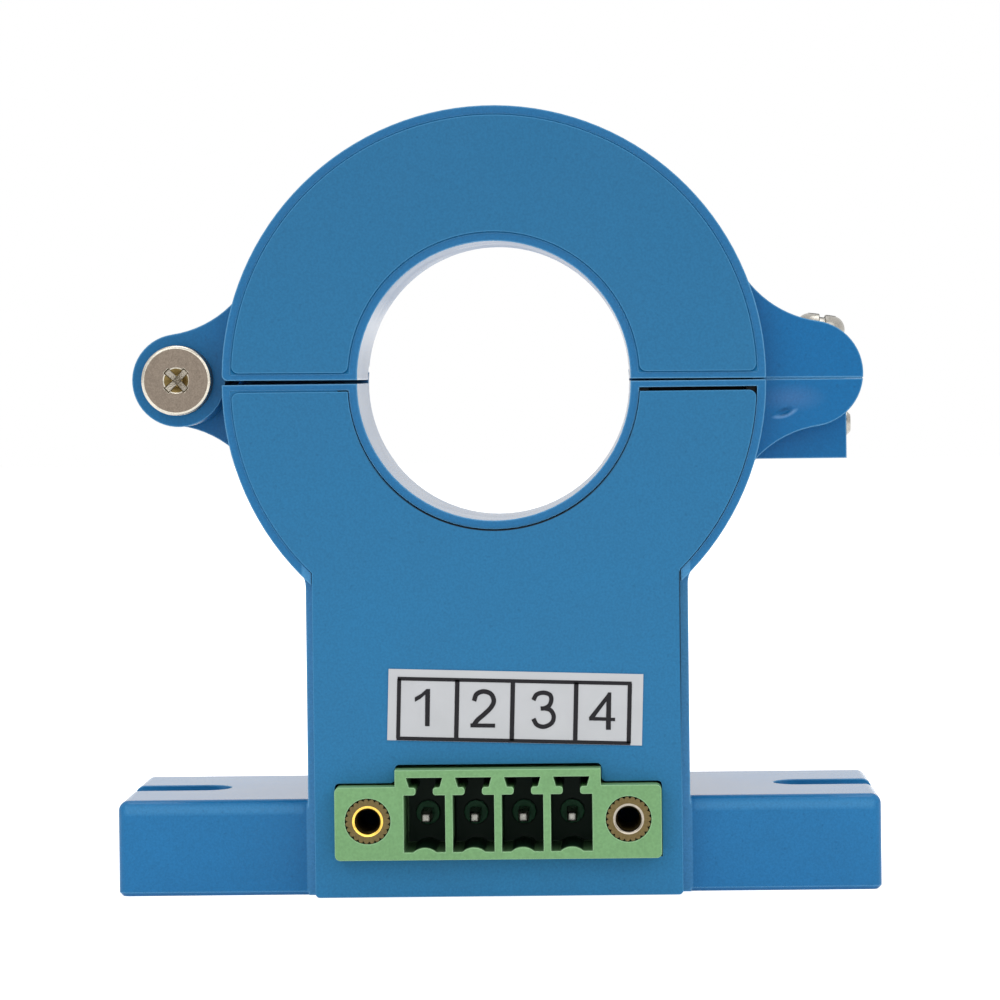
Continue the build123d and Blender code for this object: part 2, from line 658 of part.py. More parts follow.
def hall_x0():
    return -(HALL_BOARD_THICK + HALL_THICK) / 2


def make_main_board():
    """Board that lies on the floor of the base and carries the header."""
    half = NECK_HALF - WALL - BOARD_GAP
    y1 = BASE_BACK - BACK_WALL - BOARD_GAP
    body = block(-half, half, BASE_FRONT + BOARD_GAP, y1, FLOOR, BOARD_TOP)
    hole = CONTACT / 2 + RUNNING_GAP
    for i in range(WAYS):
        x = way_x(i)
        body -= block(x - hole, x + hole, TAIL_Y - hole, TAIL_Y + hole, 0, BOARD_TOP + 1)
    x0 = hall_x0() - RUNNING_GAP
    x1 = hall_x0() + HALL_BOARD_THICK + RUNNING_GAP
    tab = HALL_TAB / 2 + RUNNING_GAP
    body -= block(x0, x1, CORE_MID + HALL_BOARD_WIDTH / 2 - tab * 2, CORE_MID + HALL_BOARD_WIDTH / 2,
                  0, BOARD_TOP + 1)
    return solid_of(body)


def make_hall_board():
    """Upright board that carries the sensor up into the core's air gap."""
    x0 = hall_x0()
    x1 = x0 + HALL_BOARD_THICK
    y0 = CORE_MID - HALL_BOARD_WIDTH / 2
    y1 = CORE_MID + HALL_BOARD_WIDTH / 2
    top = RING_Z - CORE_IN
    body = block(x0, x1, y0, y1, HEADER_TOP + 1, top)
    body += block(x0, x1, HEADER_BACK + CONTACT + 2 * CONTACT_EXIT, y1, BOARD_TOP, HEADER_TOP + 1)
    body += block(x0, x1, y1 - HALL_TAB - RUNNING_GAP, y1 - RUNNING_GAP, FLOOR, BOARD_TOP)
    return solid_of(body)


def make_hall_element():
    x0 = hall_x0() + HALL_BOARD_THICK
    z = RING_Z - (CORE_IN + CORE_OUT) / 2
    half = HALL_SIZE / 2
    return solid_of(block(x0, x0 + HALL_THICK, CORE_MID - half, CORE_MID + half, z - half, z + half))


def parts_row_y():
    """Depth at which the amplifier and the small parts stand on the main board."""
    return (CORE_MID + HALL_BOARD_WIDTH / 2 + BASE_BACK - BACK_WALL) / 2


def make_amplifier():
    """Small-outline amplifier with four legs on each long side."""
    length, width, height = AMPLIFIER
    leg_w, leg_l, leg_t = AMPLIFIER_LEG
    x = -NECK_HALF / 2
    y = parts_row_y()
    body = block(x - length / 2, x + length / 2, y - width / 2, y + width / 2,
                 BOARD_TOP + leg_t, BOARD_TOP + leg_t + height)
    for i in range(4):
        leg_x = x + (i - 1.5) * AMPLIFIER_PITCH
        body += block(leg_x - leg_w / 2, leg_x + leg_w / 2, y - width / 2 - leg_l, y + width / 2 + leg_l,
                      BOARD_TOP, BOARD_TOP + leg_t + height / 3)
    return solid_of(body)


def make_capacitor():
    place = Pos(NECK_HALF / 2, parts_row_y(), BOARD_TOP)
    return solid_of(place * post(CAPACITOR_R, 0, CAPACITOR_HEIGHT))


def make_resistors():
    """Row of chip resistors, as separate solids of one node."""
    length, width, height = RESISTOR
    y = BASE_BACK - BACK_WALL - BOARD_GAP - width
    row = []
    for i in range(RESISTORS):
        x = (i - (RESISTORS - 1) / 2) * RESISTOR_PITCH
        row.append(block(x - length / 2, x + length / 2, y - width / 2, y + width / 2,
                         BOARD_TOP, BOARD_TOP + height).solid())
    return Compound(children=row)


def make_number_label():
    """Stuck-on label above the header, a little crooked as in use."""
    outline = Pos(LABEL_X, LABEL_Z) * Rot(0, 0, LABEL_TURN) * Rectangle(LABEL_WIDTH, LABEL_HEIGHT)
    return solid_of(slab(outline, COVER_FRONT - LABEL_THICK, COVER_FRONT))


def main():
    os.makedirs("parts", exist_ok=True)
    save("lower_housing", make_lower_housing())
    save("lower_cover", make_lower_cover())
    save("upper_housing", make_upper_housing())
    save("upper_cover", make_upper_cover())
    save("lower_core_left", lower_core(-1))
    save("lower_core_right", lower_core(1))
    save("upper_core", make_upper_core())
    save("hinge_screw", make_hinge_screw())
    save("hinge_nut", make_hinge_nut())
    save("clamp_screw", make_clamp_screw())
    save("clamp_washer", make_clamp_washer())
    save("clamp_nut", make_clamp_nut())
    save("nut_pin", make_nut_pin())
    save("terminal_header", make_terminal_header())
    for i in range(WAYS):
        save(f"header_contact_{i + 1}", make_contact(i))
    save("header_insert_left", make_insert(-1))
    save("header_insert_right", make_insert(1))
    save("main_board", make_main_board())
    save("hall_board", make_hall_board())
    save("hall_element", make_hall_element())
    save("amplifier", make_amplifier())
    save("capacitor", make_capacitor())
    save("resistors", make_resistors())
    save("number_label", make_number_label())


main()
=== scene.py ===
"""Looks of a split-core current transformer, dressed round its CAD frame.

Metres throughout, +Z up, and the front with the terminal header faces -Y.
"""

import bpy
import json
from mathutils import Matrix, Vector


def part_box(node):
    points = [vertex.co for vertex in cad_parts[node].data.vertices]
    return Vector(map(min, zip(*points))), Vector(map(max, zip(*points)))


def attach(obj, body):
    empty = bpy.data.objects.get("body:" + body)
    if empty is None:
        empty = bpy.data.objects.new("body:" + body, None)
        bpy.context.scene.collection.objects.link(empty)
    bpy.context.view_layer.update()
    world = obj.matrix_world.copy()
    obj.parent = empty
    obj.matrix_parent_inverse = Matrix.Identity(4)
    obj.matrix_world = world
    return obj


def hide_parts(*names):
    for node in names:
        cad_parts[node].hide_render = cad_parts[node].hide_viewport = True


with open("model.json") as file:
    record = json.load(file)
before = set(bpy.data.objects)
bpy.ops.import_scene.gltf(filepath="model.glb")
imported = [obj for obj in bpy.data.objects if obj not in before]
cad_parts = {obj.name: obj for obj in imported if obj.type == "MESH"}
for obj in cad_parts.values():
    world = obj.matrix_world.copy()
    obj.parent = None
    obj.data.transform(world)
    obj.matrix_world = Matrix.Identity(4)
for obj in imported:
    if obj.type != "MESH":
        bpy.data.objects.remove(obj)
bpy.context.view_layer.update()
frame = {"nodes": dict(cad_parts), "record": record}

import json
import logging
import math
from dataclasses import dataclass, field
from enum import Enum
from functools import cache, reduce
from typing import Sequence

import bmesh
import bpy
import numpy as np
from mathutils import Matrix, Vector

LOG = logging.getLogger("current_transformer")
MM = 0.001
LOWER, JAW, SCREW = "lower_body", "upper_jaw", "clamp_screw_body"
WHITE = (1.0, 1.0, 1.0)
Socket = bpy.types.NodeSocket


class Recess(Enum):
    """What is cut into a screw's head."""

    CROSS = "cross"
    SLOT_AND_CROSS = "slot and cross"


# Finishes


class Recipe:
    """The node tree of a material or world, built up by short calls."""

    EDGE_COSINES = (0.86, 0.995)
    BEVEL_SAMPLES = 6
    WINDOW_CENTRE = (0, 0, 0.04)

    def __init__(self, block: bpy.types.ID, shader: str = "Principled BSDF") -> None:
        """Starts from a new material or world.

        Args:
            block: the material or world.
            shader: the name of the shader node in it.
        """
        block.use_nodes = True
        self.block = block
        self.tree = block.node_tree
        self.surface = self.tree.nodes[shader]
        self.coords = self.node("TexCoord").outputs["Object"]
        self.normal: dict[str, Socket] = {}

    def feed(self, node: bpy.types.Node, inputs: dict) -> None:
        """Fills inputs of a node.

        Args:
            node: the node.
            inputs: for each input's name or number, a socket to link to it or a constant.
        """
        for key, value in inputs.items():
            if isinstance(value, Socket):
                self.tree.links.new(value, node.inputs[key])
            else:
                node.inputs[key].default_value = value

    def node(self, kind: str, inputs: dict | None = None, **settings: object) -> bpy.types.Node:
        """Adds a node.

        Args:
            kind: its type's name, without ShaderNode.
            inputs: as for feed.
            settings: attributes to set.

        Returns:
            The new node.
        """
        made = self.tree.nodes.new("ShaderNode" + kind)
        for key, value in settings.items():
            setattr(made, key, value)
        self.feed(made, inputs or {})
        return made

    def dress(self, **values: object) -> bpy.types.ID:
        """Fills inputs of the surface, with underscores for spaces, and gives the material or world."""
        self.feed(self.surface, {key.replace("_", " "): value for key, value in values.items()})
        return self.block

    def math(self, operation: str, *values: Socket) -> Socket:
        """Works out a number from one or two others."""
        return self.node("Math", dict(enumerate(values)), operation=operation).outputs[0]

    def measure(self, operation: str, *vectors: Socket | tuple) -> Socket:
        """Works out a number from one or two vectors."""
        return self.node("VectorMath", dict(enumerate(vectors)), operation=operation).outputs["Value"]

    def product(self, *values: Socket) -> Socket:
        """Multiplies two or more values."""
        return reduce(lambda first, second: self.math("MULTIPLY", first, second), values)

    def level(self, value: Socket, low: float, high: float, start: float = 0.3, end: float = 0.7) -> Socket:
        """Maps a value from start..end to low..high, and no further."""
        span = {"From Min": start, "From Max": end, "To Min": low, "To Max": high}
        return self.node("MapRange", {"Value": value, **span}).outputs["Result"]

    def fade(self, value: Socket, limits: tuple) -> Socket:
        """Maps a value by limits in level's order."""
        return self.level(value, *limits)

    def placed(self, kind: str = "POINT", **inputs: tuple) -> Socket:
        """Gives the object's own coordinates, moved, turned or scaled by a mapping node's inputs."""
        return self.node("Mapping", {"Vector": self.coords, **inputs}, vector_type=kind).outputs["Vector"]

    def axis_values(self, vector: Socket | None = None) -> list[Socket]:
        """Gives x, y and z of a vector, or else of the object's own coordinates."""
        return list(self.node("SeparateXYZ", {"Vector": vector or self.coords}).outputs)

    def noise(self, size: float, detail: float, stretch: tuple = (1, 1, 1)) -> Socket:
        """Adds noise from 0 to 1: its features are about a size across, and squeezed along each axis."""
        place = self.placed(Scale=tuple(squeeze / size for squeeze in stretch))
        return self.node("TexNoise", {"Vector": place, "Scale": 1.0, "Detail": detail}).outputs["Fac"]

    def ramp(self, value: Socket, low: tuple, high: tuple, start: float = 0.3, end: float = 0.7) -> Socket:
        """Maps a value to a colour.

        Args:
            value: the driving value.
            low: the colour up to the start.
            high: the colour from the end on.
            start: where the colour begins to change.
            end: where it has changed.

        Returns:
            The colour.
        """
        made = self.node("ValToRGB", {"Fac": value})
        for index, (position, colour) in enumerate(((start, low), (end, high))):
            stop = made.color_ramp.elements[index]
            stop.position, stop.color = position, (*colour, 1)
        return made.outputs["Color"]

    def tones(self, value: Socket, colour: tuple, low: float, high: float) -> Socket:
        """Maps a value to shades of one colour, between two factors of it."""
        return self.ramp(value, shade(colour, low), shade(colour, high))

    def blend(self, factor: Socket | float, first: Socket, second: Socket | tuple, kind: str = "MIX") -> Socket:
        """Mixes a colour with a second one, linear RGB or a socket's, by a factor of 0 to 1."""
        other = second if isinstance(second, Socket) else (*second, 1)
        return self.node("Mix", {"Factor": factor, 6: first, 7: other}, data_type="RGBA", blend_type=kind).outputs[2]

    def set_normal(self, normal: Socket) -> None:
        """Makes a normal the surface's own."""
        self.normal = {"Normal": normal}
        self.feed(self.surface, self.normal)

    def bump(self, height: Socket, depth: float) -> None:
        """Adds bump, a depth in metres between height 0 and 1, on top of any bump already there."""
        made = self.node("Bump", {"Distance": depth, "Height": height, **self.normal})
        self.set_normal(made.outputs["Normal"])

    def soft_edges(self, radius: float) -> Socket:
        """Rounds sharp edges in the shading, as a mould leaves them.

        Args:
            radius: the edge radius in metres.

        Returns:
            A mask that is 1 along the edges, where the rounded normal turns away from the plain one.
        """
        rounded = self.node("Bevel", {"Radius": radius}, samples=self.BEVEL_SAMPLES).outputs["Normal"]
        self.set_normal(rounded)
        plain = self.node("NewGeometry").outputs["Normal"]
        return self.level(self.measure("DOT_PRODUCT", rounded, plain), 1.0, 0.0, *self.EDGE_COSINES)

    def ellipse(self, centre: tuple, tilt: float, size: tuple) -> tuple[Socket, Socket]:
        """Gives each place's distance from an ellipse's centre, 1 on the ellipse, and its height across it."""
        place = self.placed("TEXTURE", Location=centre, Rotation=(0, tilt, 0), Scale=size)
        return self.measure("LENGTH", place), self.axis_values(place)[2]

    def zone(self, x: tuple, y: tuple, z: tuple, blur: float = 0.0001) -> Socket:
        """Marks a block of space, the same on both sides of the object's middle plane.

        Args:
            x: nearest and furthest distance from the middle plane.
            y: front and back.
            z: bottom and top.
            blur: metres over which the mark fades, inside the block.

        Returns:
            A mask that is 1 inside.
        """
        side, depth, height = self.axis_values()
        steps = []
        for value, (low, high) in ((self.math("ABSOLUTE", side), x), (depth, y), (height, z)):
            steps.append(self.level(value, 0.0, 1.0, low, low + blur))
            steps.append(self.level(value, 1.0, 0.0, high - blur, high))
        return self.product(*steps)

    def off_axis(self) -> Socket:
        """Gives each place's distance from the window's axis."""
        return self.measure("DISTANCE", self.placed(Scale=(1, 0, 1)), self.WINDOW_CENTRE)

    def facing_front(self) -> Socket:
        """Marks faces that look along the object's own Y axis, either way."""
        across = self.axis_values(self.coords.node.outputs["Normal"])[1]
        return self.level(self.math("ABSOLUTE", across), 0.0, 1.0, 0.5, 0.7)

    def seen(self, light: float, sight: float) -> Socket:
        """Gives one strength as light, and another to the camera and in reflections."""
        rays = self.node("LightPath").outputs
        return self.level(self.math("MAXIMUM", rays["Is Camera Ray"], rays["Is Glossy Ray"]), light, sight, 0.0, 1.0)


def shade(colour: Sequence[float], factor: float) -> tuple:
    """Makes a linear RGB colour lighter or darker by a factor."""
    return tuple(min(1.0, channel * factor) for channel in colour)


@dataclass(frozen=True)
class MouldedPlastic:
    """Injection-moulded plastic with a fine grain, faint flow shades and a few dark specks."""

    name: str
    colour: tuple
    roughness: float = 0.42
    grain: float = 0.00014
    grain_depth: float = 0.000006
    mottle: float = 0.06
    specks: float = 0.0
    sheen_level: float = 0.3
    edge: float = 0.00012
    # painted highlight along the edges, where given
    edge_colour: tuple | None = None
    # painted shade: how much darker the colour gets towards the top, between the heights below
    fade: float = 0.0
    top_shade_heights: tuple = (0.008, 0.056)
    flow_size: float = 0.006
    speck_size: float = 0.0003
    speck_levels: tuple = (0.17, 0.24)
    unevenness: float = 0.04

    def material(self) -> bpy.types.Material:
        """Builds the material.

        Returns:
            The finished material.
        """
        recipe = Recipe(bpy.data.materials.new(self.name))
        broad, fine = recipe.noise(self.flow_size, 3.0), recipe.noise(self.grain, 1.0)
        colour = self.with_painted_light(recipe, recipe.tones(broad, self.colour, 1 - self.mottle, 1 + self.mottle))
        colour = recipe.blend(1.0, colour, recipe.tones(fine, WHITE, 0.86, 1.0), "MULTIPLY")
        if self.specks:
            dots = recipe.ramp(recipe.noise(self.speck_size, 0.0), (0.5, 0.5, 0.5), WHITE, *self.speck_levels)
            colour = recipe.blend(self.specks, colour, dots, "MULTIPLY")
        # the edge colour, where given, is a painted highlight along the edges
        edges = recipe.soft_edges(self.edge)
        if self.edge_colour:
            colour = recipe.blend(edges, colour, self.edge_colour)
        recipe.bump(fine, self.grain_depth)
        self.marked(recipe)
        rough = recipe.level(broad, self.roughness - self.unevenness, self.roughness + self.unevenness)
        return recipe.dress(Base_Color=self.shaded(recipe, colour), Roughness=self.polished(recipe, rough),
                            Metallic=0.0, IOR=1.5, Specular_IOR_Level=self.sheen_level)

    def with_painted_light(self, recipe: Recipe, colour: Socket) -> Socket:
        """Darkens the colour, under the grain, a little towards the top: painted shade.

        Args:
            recipe: the material.
            colour: its plain colour.

        Returns:
            The colour with its painted light.
        """
        if not self.fade:
            return colour
        height = recipe.level(recipe.axis_values()[2], 0.0, 1.0, *self.top_shade_heights)
        return recipe.blend(height, colour, shade(self.colour, 1 - self.fade))

    def shaded(self, recipe: Recipe, colour: Socket) -> Socket:
        """Leaves the colour as it is; a finish with shaded cavities, grooves or seams paints their shade here."""
        return colour

    def polished(self, recipe: Recipe, rough: Socket) -> Socket:
        """Leaves the roughness as it is; a finish with polished faces lowers it here."""
        return rough

    def marked(self, recipe: Recipe) -> None:
        """Leaves the surface as it is; a finish with a mark of its own adds the mark's bump here."""


@dataclass(frozen=True)
class HousingPlastic(MouldedPlastic):
    """Housing plastic: painted shade down in the cover's groove, and painted light round the sink mark.

    The zones are those of Recipe.zone. The sink mark is a shallow ellipse on the lower wing, a real hollow: it has
    painted shade on its upper side, a painted highlight on its lower rim and a light painted glare round it.
    """

    # painted shade for the groove above the lower cover
    dark: tuple = (0.001, 0.004, 0.008)
    # painted shade on the ear and the wing
    wing: tuple = (0.003, 0.142, 0.37)
    # painted highlight on the neck's strip and on the feet's rounded front edge
    edge_highlight_colour: tuple = (0.06, 0.27, 0.53)
    # the sink mark's painted glare, painted highlight and painted shade, in this order
    glare_colour: tuple = (0.045, 0.17, 0.4)
    bright: tuple = (0.16, 0.36, 0.66)
    deep: tuple = (0.002, 0.09, 0.26)
    ear_wing_shade: tuple = ((0.018, 0.032), (-0.0101, 0.0038), (0.03, 0.06), 0.00005)
    side_shade_levels: tuple = (0.35, 0.9)
    neck_highlight_zone: tuple = ((0.0143, 0.0152), (-0.0121, -0.0098), (0.0, 0.0275))
    foot_highlight_zone: tuple = ((0.0152, 0.0296), (-0.0104, -0.0094), (0.0063, 0.0073), 0.0003)
    groove: tuple = ((0.01135, 0.0206), (-0.01185, 0.003), (0.0389, 0.03963), 0.00005)
    foot_tops: tuple = ((0.0145, 0.031), (-0.013, 0.011), (0.0072, 0.0078))
    wall_radii: tuple = (0.01085, 0.01095)
    sink: tuple = ((0.0227, -0.01, 0.03755), math.radians(-18), (0.00095, 0.003, 0.0004))
    sink_depth: float = 0.00026
    dent_shade_fades: tuple = ((0.7, 0.0, 0.3, 0.9), (0.2, 1.0, -0.2, 0.3))
    dent_highlight_fades: tuple = ((0.0, 1.0, 0.4, 0.8), (1.0, 0.0, 0.85, 1.25), (0.8, 0.0, -0.45, 0.05))
    glare_zone: tuple = ((0.0233, -0.01, 0.03865), 0.0, (0.0026, 0.003, 0.0011))
    glare_fade: tuple = (0.8, 0.0, 0.2, 1.1)

    def with_painted_light(self, recipe: Recipe, colour: Socket) -> Socket:
        """Paints shade on the ear and the wing, highlights on the neck's strip and the feet's front edge, and the sink
        mark's light.

        Args:
            recipe: the material.
            colour: its plain colour.

        Returns:
            The colour with painted shade and highlights.
        """
        colour = super().with_painted_light(recipe, colour)
        # painted shade on the ear and the wing, stronger on the right wing than on the left ear
        side = recipe.level(recipe.axis_values()[0], *self.side_shade_levels, -MM, MM)
        ear_wing_shade = recipe.product(recipe.zone(*self.ear_wing_shade), recipe.facing_front(), side)
        # painted highlight along the feet's rounded front edge; the neck's strip gets the same one below
        foot_highlight_zone = recipe.level(recipe.zone(*self.foot_highlight_zone), 0.0, 0.6, 0.0, 1.0)
        # the sink mark's colours are painted light: a light glare round it, shade on its upper side and a highlight on
        # its lower rim
        glare_zone = recipe.level(recipe.ellipse(*self.glare_zone)[0], *self.glare_fade)
        near, across = recipe.ellipse(*self.sink)
        hollow = recipe.product(*map(recipe.fade, (near, across), self.dent_shade_fades))
        rim = recipe.product(*map(recipe.fade, (near, near, across), self.dent_highlight_fades))
        for mask, paint in ((ear_wing_shade, self.wing), (recipe.zone(*self.neck_highlight_zone), self.edge_highlight_colour), (foot_highlight_zone, self.edge_highlight_colour),
                            (glare_zone, self.glare_colour), (hollow, self.deep), (rim, self.bright)):
            colour = recipe.blend(mask, colour, paint)
        return colour

    def shaded(self, recipe: Recipe, colour: Socket) -> Socket:
        """Paints shade into the groove above the lower cover."""
        return recipe.blend(recipe.zone(*self.groove), colour, self.dark)

    def polished(self, recipe: Recipe, rough: Socket) -> Socket:
        """Polishes the window's wall and the feet's tops, which slid along the mould's core."""
        wall = recipe.level(recipe.off_axis(), 0.55, 1.0, *self.wall_radii)
        return recipe.product(rough, wall, recipe.level(recipe.zone(*self.foot_tops), 1.0, 0.4, 0.0, 1.0))

    def marked(self, recipe: Recipe) -> None:
        """Adds the sink mark's smooth hollow."""
        smooth = recipe.node("MapRange", {"Value": recipe.ellipse(*self.sink)[0]}, interpolation_type="SMOOTHSTEP")
        recipe.bump(smooth.outputs["Result"], self.sink_depth)


@dataclass(frozen=True)
class CoverPlastic(MouldedPlastic):
    """Cover plastic, with painted shade along the two seams of the lower cover that the photo shows open."""

    # painted shade for the two open seams
    dark: tuple = (0.001, 0.006, 0.012)
    window_radii: tuple = (0.01144, 0.01148)
    window_heights: tuple = (0.03, 0.038)
    neck_edge: tuple = (0.01424, 0.01427)
    neck_rise: tuple = (0.008, 0.018)
    neck_top: tuple = (0.0252, 0.0254)

    def shaded(self, recipe: Recipe, colour: Socket) -> Socket:
        """Paints shade into the seam below the window and the one beside the neck on the right.

        Args:
            recipe: the material.
            colour: the plain colour.

        Returns:
            The colour with painted shade in the seams.
        """
        x, _, z = recipe.axis_values()
        window = recipe.product(recipe.level(recipe.off_axis(), 1.0, 0.0, *self.window_radii),
                                recipe.level(z, 1.0, 0.0, *self.window_heights))
        neck = recipe.product(recipe.level(x, 0.0, 1.0, *self.neck_edge), recipe.level(z, 0.0, 0.8, *self.neck_rise),
                              recipe.level(z, 1.0, 0.0, *self.neck_top))
        return recipe.blend(neck, recipe.blend(window, colour, self.dark), self.dark)


@dataclass(frozen=True)
class SocketPlastic(MouldedPlastic):
    """Header plastic, with painted shade in its narrow deep cavities, which let hardly any light out again."""

    # painted shade in the cavities, and the lighter painted shade on the contact bosses
    dark: tuple = (0.006, 0.022, 0.012)
    boss_shade: tuple = (0.035, 0.13, 0.065)
    row: tuple = (-0.001, 0.0074)
    walls: tuple = ((-0.02, 0.0), (0.0036, 0.0099), 0.0002)
    wall_depths: tuple = (-0.0136, -0.0088)
    floors: tuple = ((-0.02, 0.0), (0.0036, 0.00465), 0.0002)
    floor_depths: tuple = (-0.0136, -0.0129)
    bosses: tuple = ((-0.0072, -0.00698), (0.0036, 0.0099), 0.00005)

    def shaded(self, recipe: Recipe, colour: Socket) -> Socket:
        """Paints shade by depth inside the row of cavities, sooner on their floors.

        Args:
            recipe: the material.
            colour: the plain colour.

        Returns:
            The colour with painted shade in the cavities, a little lighter on the contact bosses.
        """
        y = recipe.axis_values()[1]
        for zone, depths in ((self.walls, self.wall_depths), (self.floors, self.floor_depths)):
            mask = recipe.product(recipe.zone(self.row, *zone), recipe.level(y, 0.0, 1.0, *depths))
            colour = recipe.blend(mask, colour, self.dark)
        return recipe.blend(recipe.zone(self.row, *self.bosses), colour, self.boss_shade)


@dataclass(frozen=True)
class PlatedMetal:
    """Nickel, tin or brass with a faint blotchy dulling and fine pits."""

    name: str
    colour: tuple
    roughness: float = 0.3
    dulling: float = 0.12
    pits: float = 0.000002
    dark_edge: float = 0.0
    edge_colour: tuple = (0.03, 0.03, 0.03)
    blotch_size: float = 0.0006
    pit_size: float = 0.00009

    def material(self) -> bpy.types.Material:
        """Builds the material.

        Returns:
            The finished material.
        """
        recipe = Recipe(bpy.data.materials.new(self.name))
        blotch, fine = recipe.noise(self.blotch_size, 4.0), recipe.noise(self.pit_size, 2.0)
        grain = recipe.ramp(fine, (0.8, 0.8, 0.8), (1.15, 1.15, 1.15))
        tint = recipe.blend(1.0, recipe.tones(blotch, self.colour, 0.86, 1.08), grain, "MULTIPLY")
        # darkens a band along the edges to the edge colour
        if self.dark_edge:
            tint = recipe.blend(recipe.soft_edges(self.dark_edge), tint, self.edge_colour)
        recipe.bump(fine, self.pits)
        rough = recipe.level(blotch, self.roughness, self.roughness + self.dulling)
        return recipe.dress(Base_Color=tint, Roughness=rough, Metallic=1.0)


@dataclass(frozen=True)
class PrintedFilm:
    """Label film or printing ink: smooth, with a soft uneven tone."""

    name: str
    colour: tuple
    roughness: float = 0.35
    unevenness: float = 0.03
    sheen_level: float = 0.5
    cloud_size: float = 0.0025
    ripple_size: float = 0.0003
    ripple_depth: float = 0.000002

    def material(self) -> bpy.types.Material:
        """Builds the material.

        Returns:
            The finished material.
        """
        recipe = Recipe(bpy.data.materials.new(self.name))
        cloud = recipe.noise(self.cloud_size, 3.0)
        recipe.bump(recipe.noise(self.ripple_size, 2.0), self.ripple_depth)
        tint = recipe.tones(cloud, self.colour, 1 - self.unevenness, 1 + self.unevenness)
        rough = recipe.level(cloud, self.roughness, self.roughness + 0.1)
        return recipe.dress(Base_Color=tint, Roughness=rough, Specular_IOR_Level=self.sheen_level)


@dataclass(frozen=True)
class StripSteel:
    """Core wound from thin strip: fine lines across its depth, bare at the poles and dark elsewhere."""

    name: str = "core_strip"
    colour: tuple = (0.3, 0.31, 0.33)
    varnish: tuple = (0.012, 0.012, 0.013)
    strip: float = 0.0003
    stretch: tuple = (0.05, 1.0, 0.05)
    line_depth: float = 0.00002
    below_poles: tuple = (0.03992, 0.03995)
    above_poles: tuple = (0.0407, 0.04073)

    def material(self) -> bpy.types.Material:
        """Builds the material, with bands of one strip's thickness along Y.

        Returns:
            The finished material.
        """
        recipe = Recipe(bpy.data.materials.new(self.name))
        lines, height = recipe.noise(self.strip, 1.0, self.stretch), recipe.axis_values()[2]
        tint = recipe.tones(lines, self.colour, 0.7, 1.2)
        tint = recipe.blend(recipe.level(height, 1.0, 0.0, *self.below_poles), tint, self.varnish)
        tint = recipe.blend(recipe.level(height, 0.0, 1.0, *self.above_poles), tint, self.varnish)
        recipe.bump(lines, self.line_depth)
        return recipe.dress(Base_Color=tint, Roughness=recipe.level(lines, 0.35, 0.55), Metallic=1.0)


# In these plastics fade is painted shade, a little darker towards the top, and edge_colour a painted highlight along
# the edges.
HOUSING = HousingPlastic("housing_plastic", (0.019, 0.18, 0.415), 0.3, mottle=0.04, specks=0.25, sheen_level=0.15,
                         fade=0.13, edge=0.0002, edge_colour=(0.17, 0.45, 0.74))
COVER = CoverPlastic("cover_plastic", (0.023, 0.19, 0.4), 0.5, grain=0.00017, grain_depth=0.00001, mottle=0.03,
                     specks=0.2, sheen_level=0.2, fade=0.17, edge=0.00018, edge_colour=(0.08, 0.32, 0.6))
BEAD = MouldedPlastic("glue_bead", (0.012, 0.165, 0.37), 0.4, sheen_level=0.2)
HEADER = SocketPlastic("header_plastic", (0.212, 0.415, 0.188), 0.45, grain=0.0002, grain_depth=0.000004,
                       mottle=0.04, sheen_level=0.12, edge=0.00016, edge_colour=(0.4, 0.68, 0.38))
CHIP = MouldedPlastic("chip_plastic", (0.02, 0.02, 0.022), 0.5)
BOARD = MouldedPlastic("board_resist", (0.015, 0.12, 0.04), 0.3, grain=0.0004, mottle=0.15)
NICKEL = PlatedMetal("nickel_plate", (0.195, 0.16, 0.128), 0.34, pits=0.00001)
# painted highlight for the hinge screw's rim and recess sides, then a darker golden nickel as painted shade in its
# recess, then a painted highlight on its cross's arms
NICKEL_HIGHLIGHT = PlatedMetal("nickel_highlight", (0.6, 0.56, 0.48), 0.2)
NICKEL_RECESS_SHADE = PlatedMetal("nickel_recess_shade", (0.2, 0.145, 0.055), 0.25)
NICKEL_CROSS_HIGHLIGHT = PlatedMetal("nickel_cross_highlight", (0.33, 0.3, 0.25), 0.15, pits=0.00002)
BRIGHT_NICKEL = PlatedMetal("bright_nickel", (0.42, 0.4, 0.36), 0.24, pits=0.000004)
TIN = PlatedMetal("contact_tin", (0.36, 0.35, 0.32), 0.15, 0.4, pits=0.00005, dark_edge=0.00022)
BRASS = PlatedMetal("insert_brass", (0.14, 0.105, 0.046), 0.4)
# the inserts' bright cut chamfer, with a painted reflection: gold on the left insert, pale on the right
GOLD_CHAMFER_REFLECTION = PlatedMetal("insert_chamfer_gold_reflection", (1.0, 0.62, 0.12), 0.1)
PALE_CHAMFER_REFLECTION = PlatedMetal("insert_chamfer_pale_reflection", (0.38, 0.34, 0.28), 0.1)
CAN = PlatedMetal("capacitor_can", (0.7, 0.7, 0.72), 0.3)
FILM = PrintedFilm("label_film", (0.53, 0.54, 0.56))
INK = PrintedFilm("label_ink", (0.022, 0.021, 0.024), 0.6, sheen_level=0.1)
CORE = StripSteel()

WORN_BY = {
    HOUSING: ("lower_housing", "upper_housing"),
    COVER: ("lower_cover", "upper_cover"),
    CORE: ("lower_core_left", "lower_core_right", "upper_core"),
    NICKEL: ("hinge_screw", "hinge_nut", "clamp_nut"),
    BRIGHT_NICKEL: ("clamp_screw", "clamp_washer", "nut_pin"),
    HEADER: ("terminal_header",),
    TIN: ("header_contact_1", "header_contact_2", "header_contact_3", "header_contact_4"),
    BRASS: ("header_insert_left", "header_insert_right"),
    BOARD: ("main_board", "hall_board"),
    CHIP: ("hall_element", "amplifier", "resistors"),
    CAN: ("capacitor",),
    FILM: ("number_label",),
}


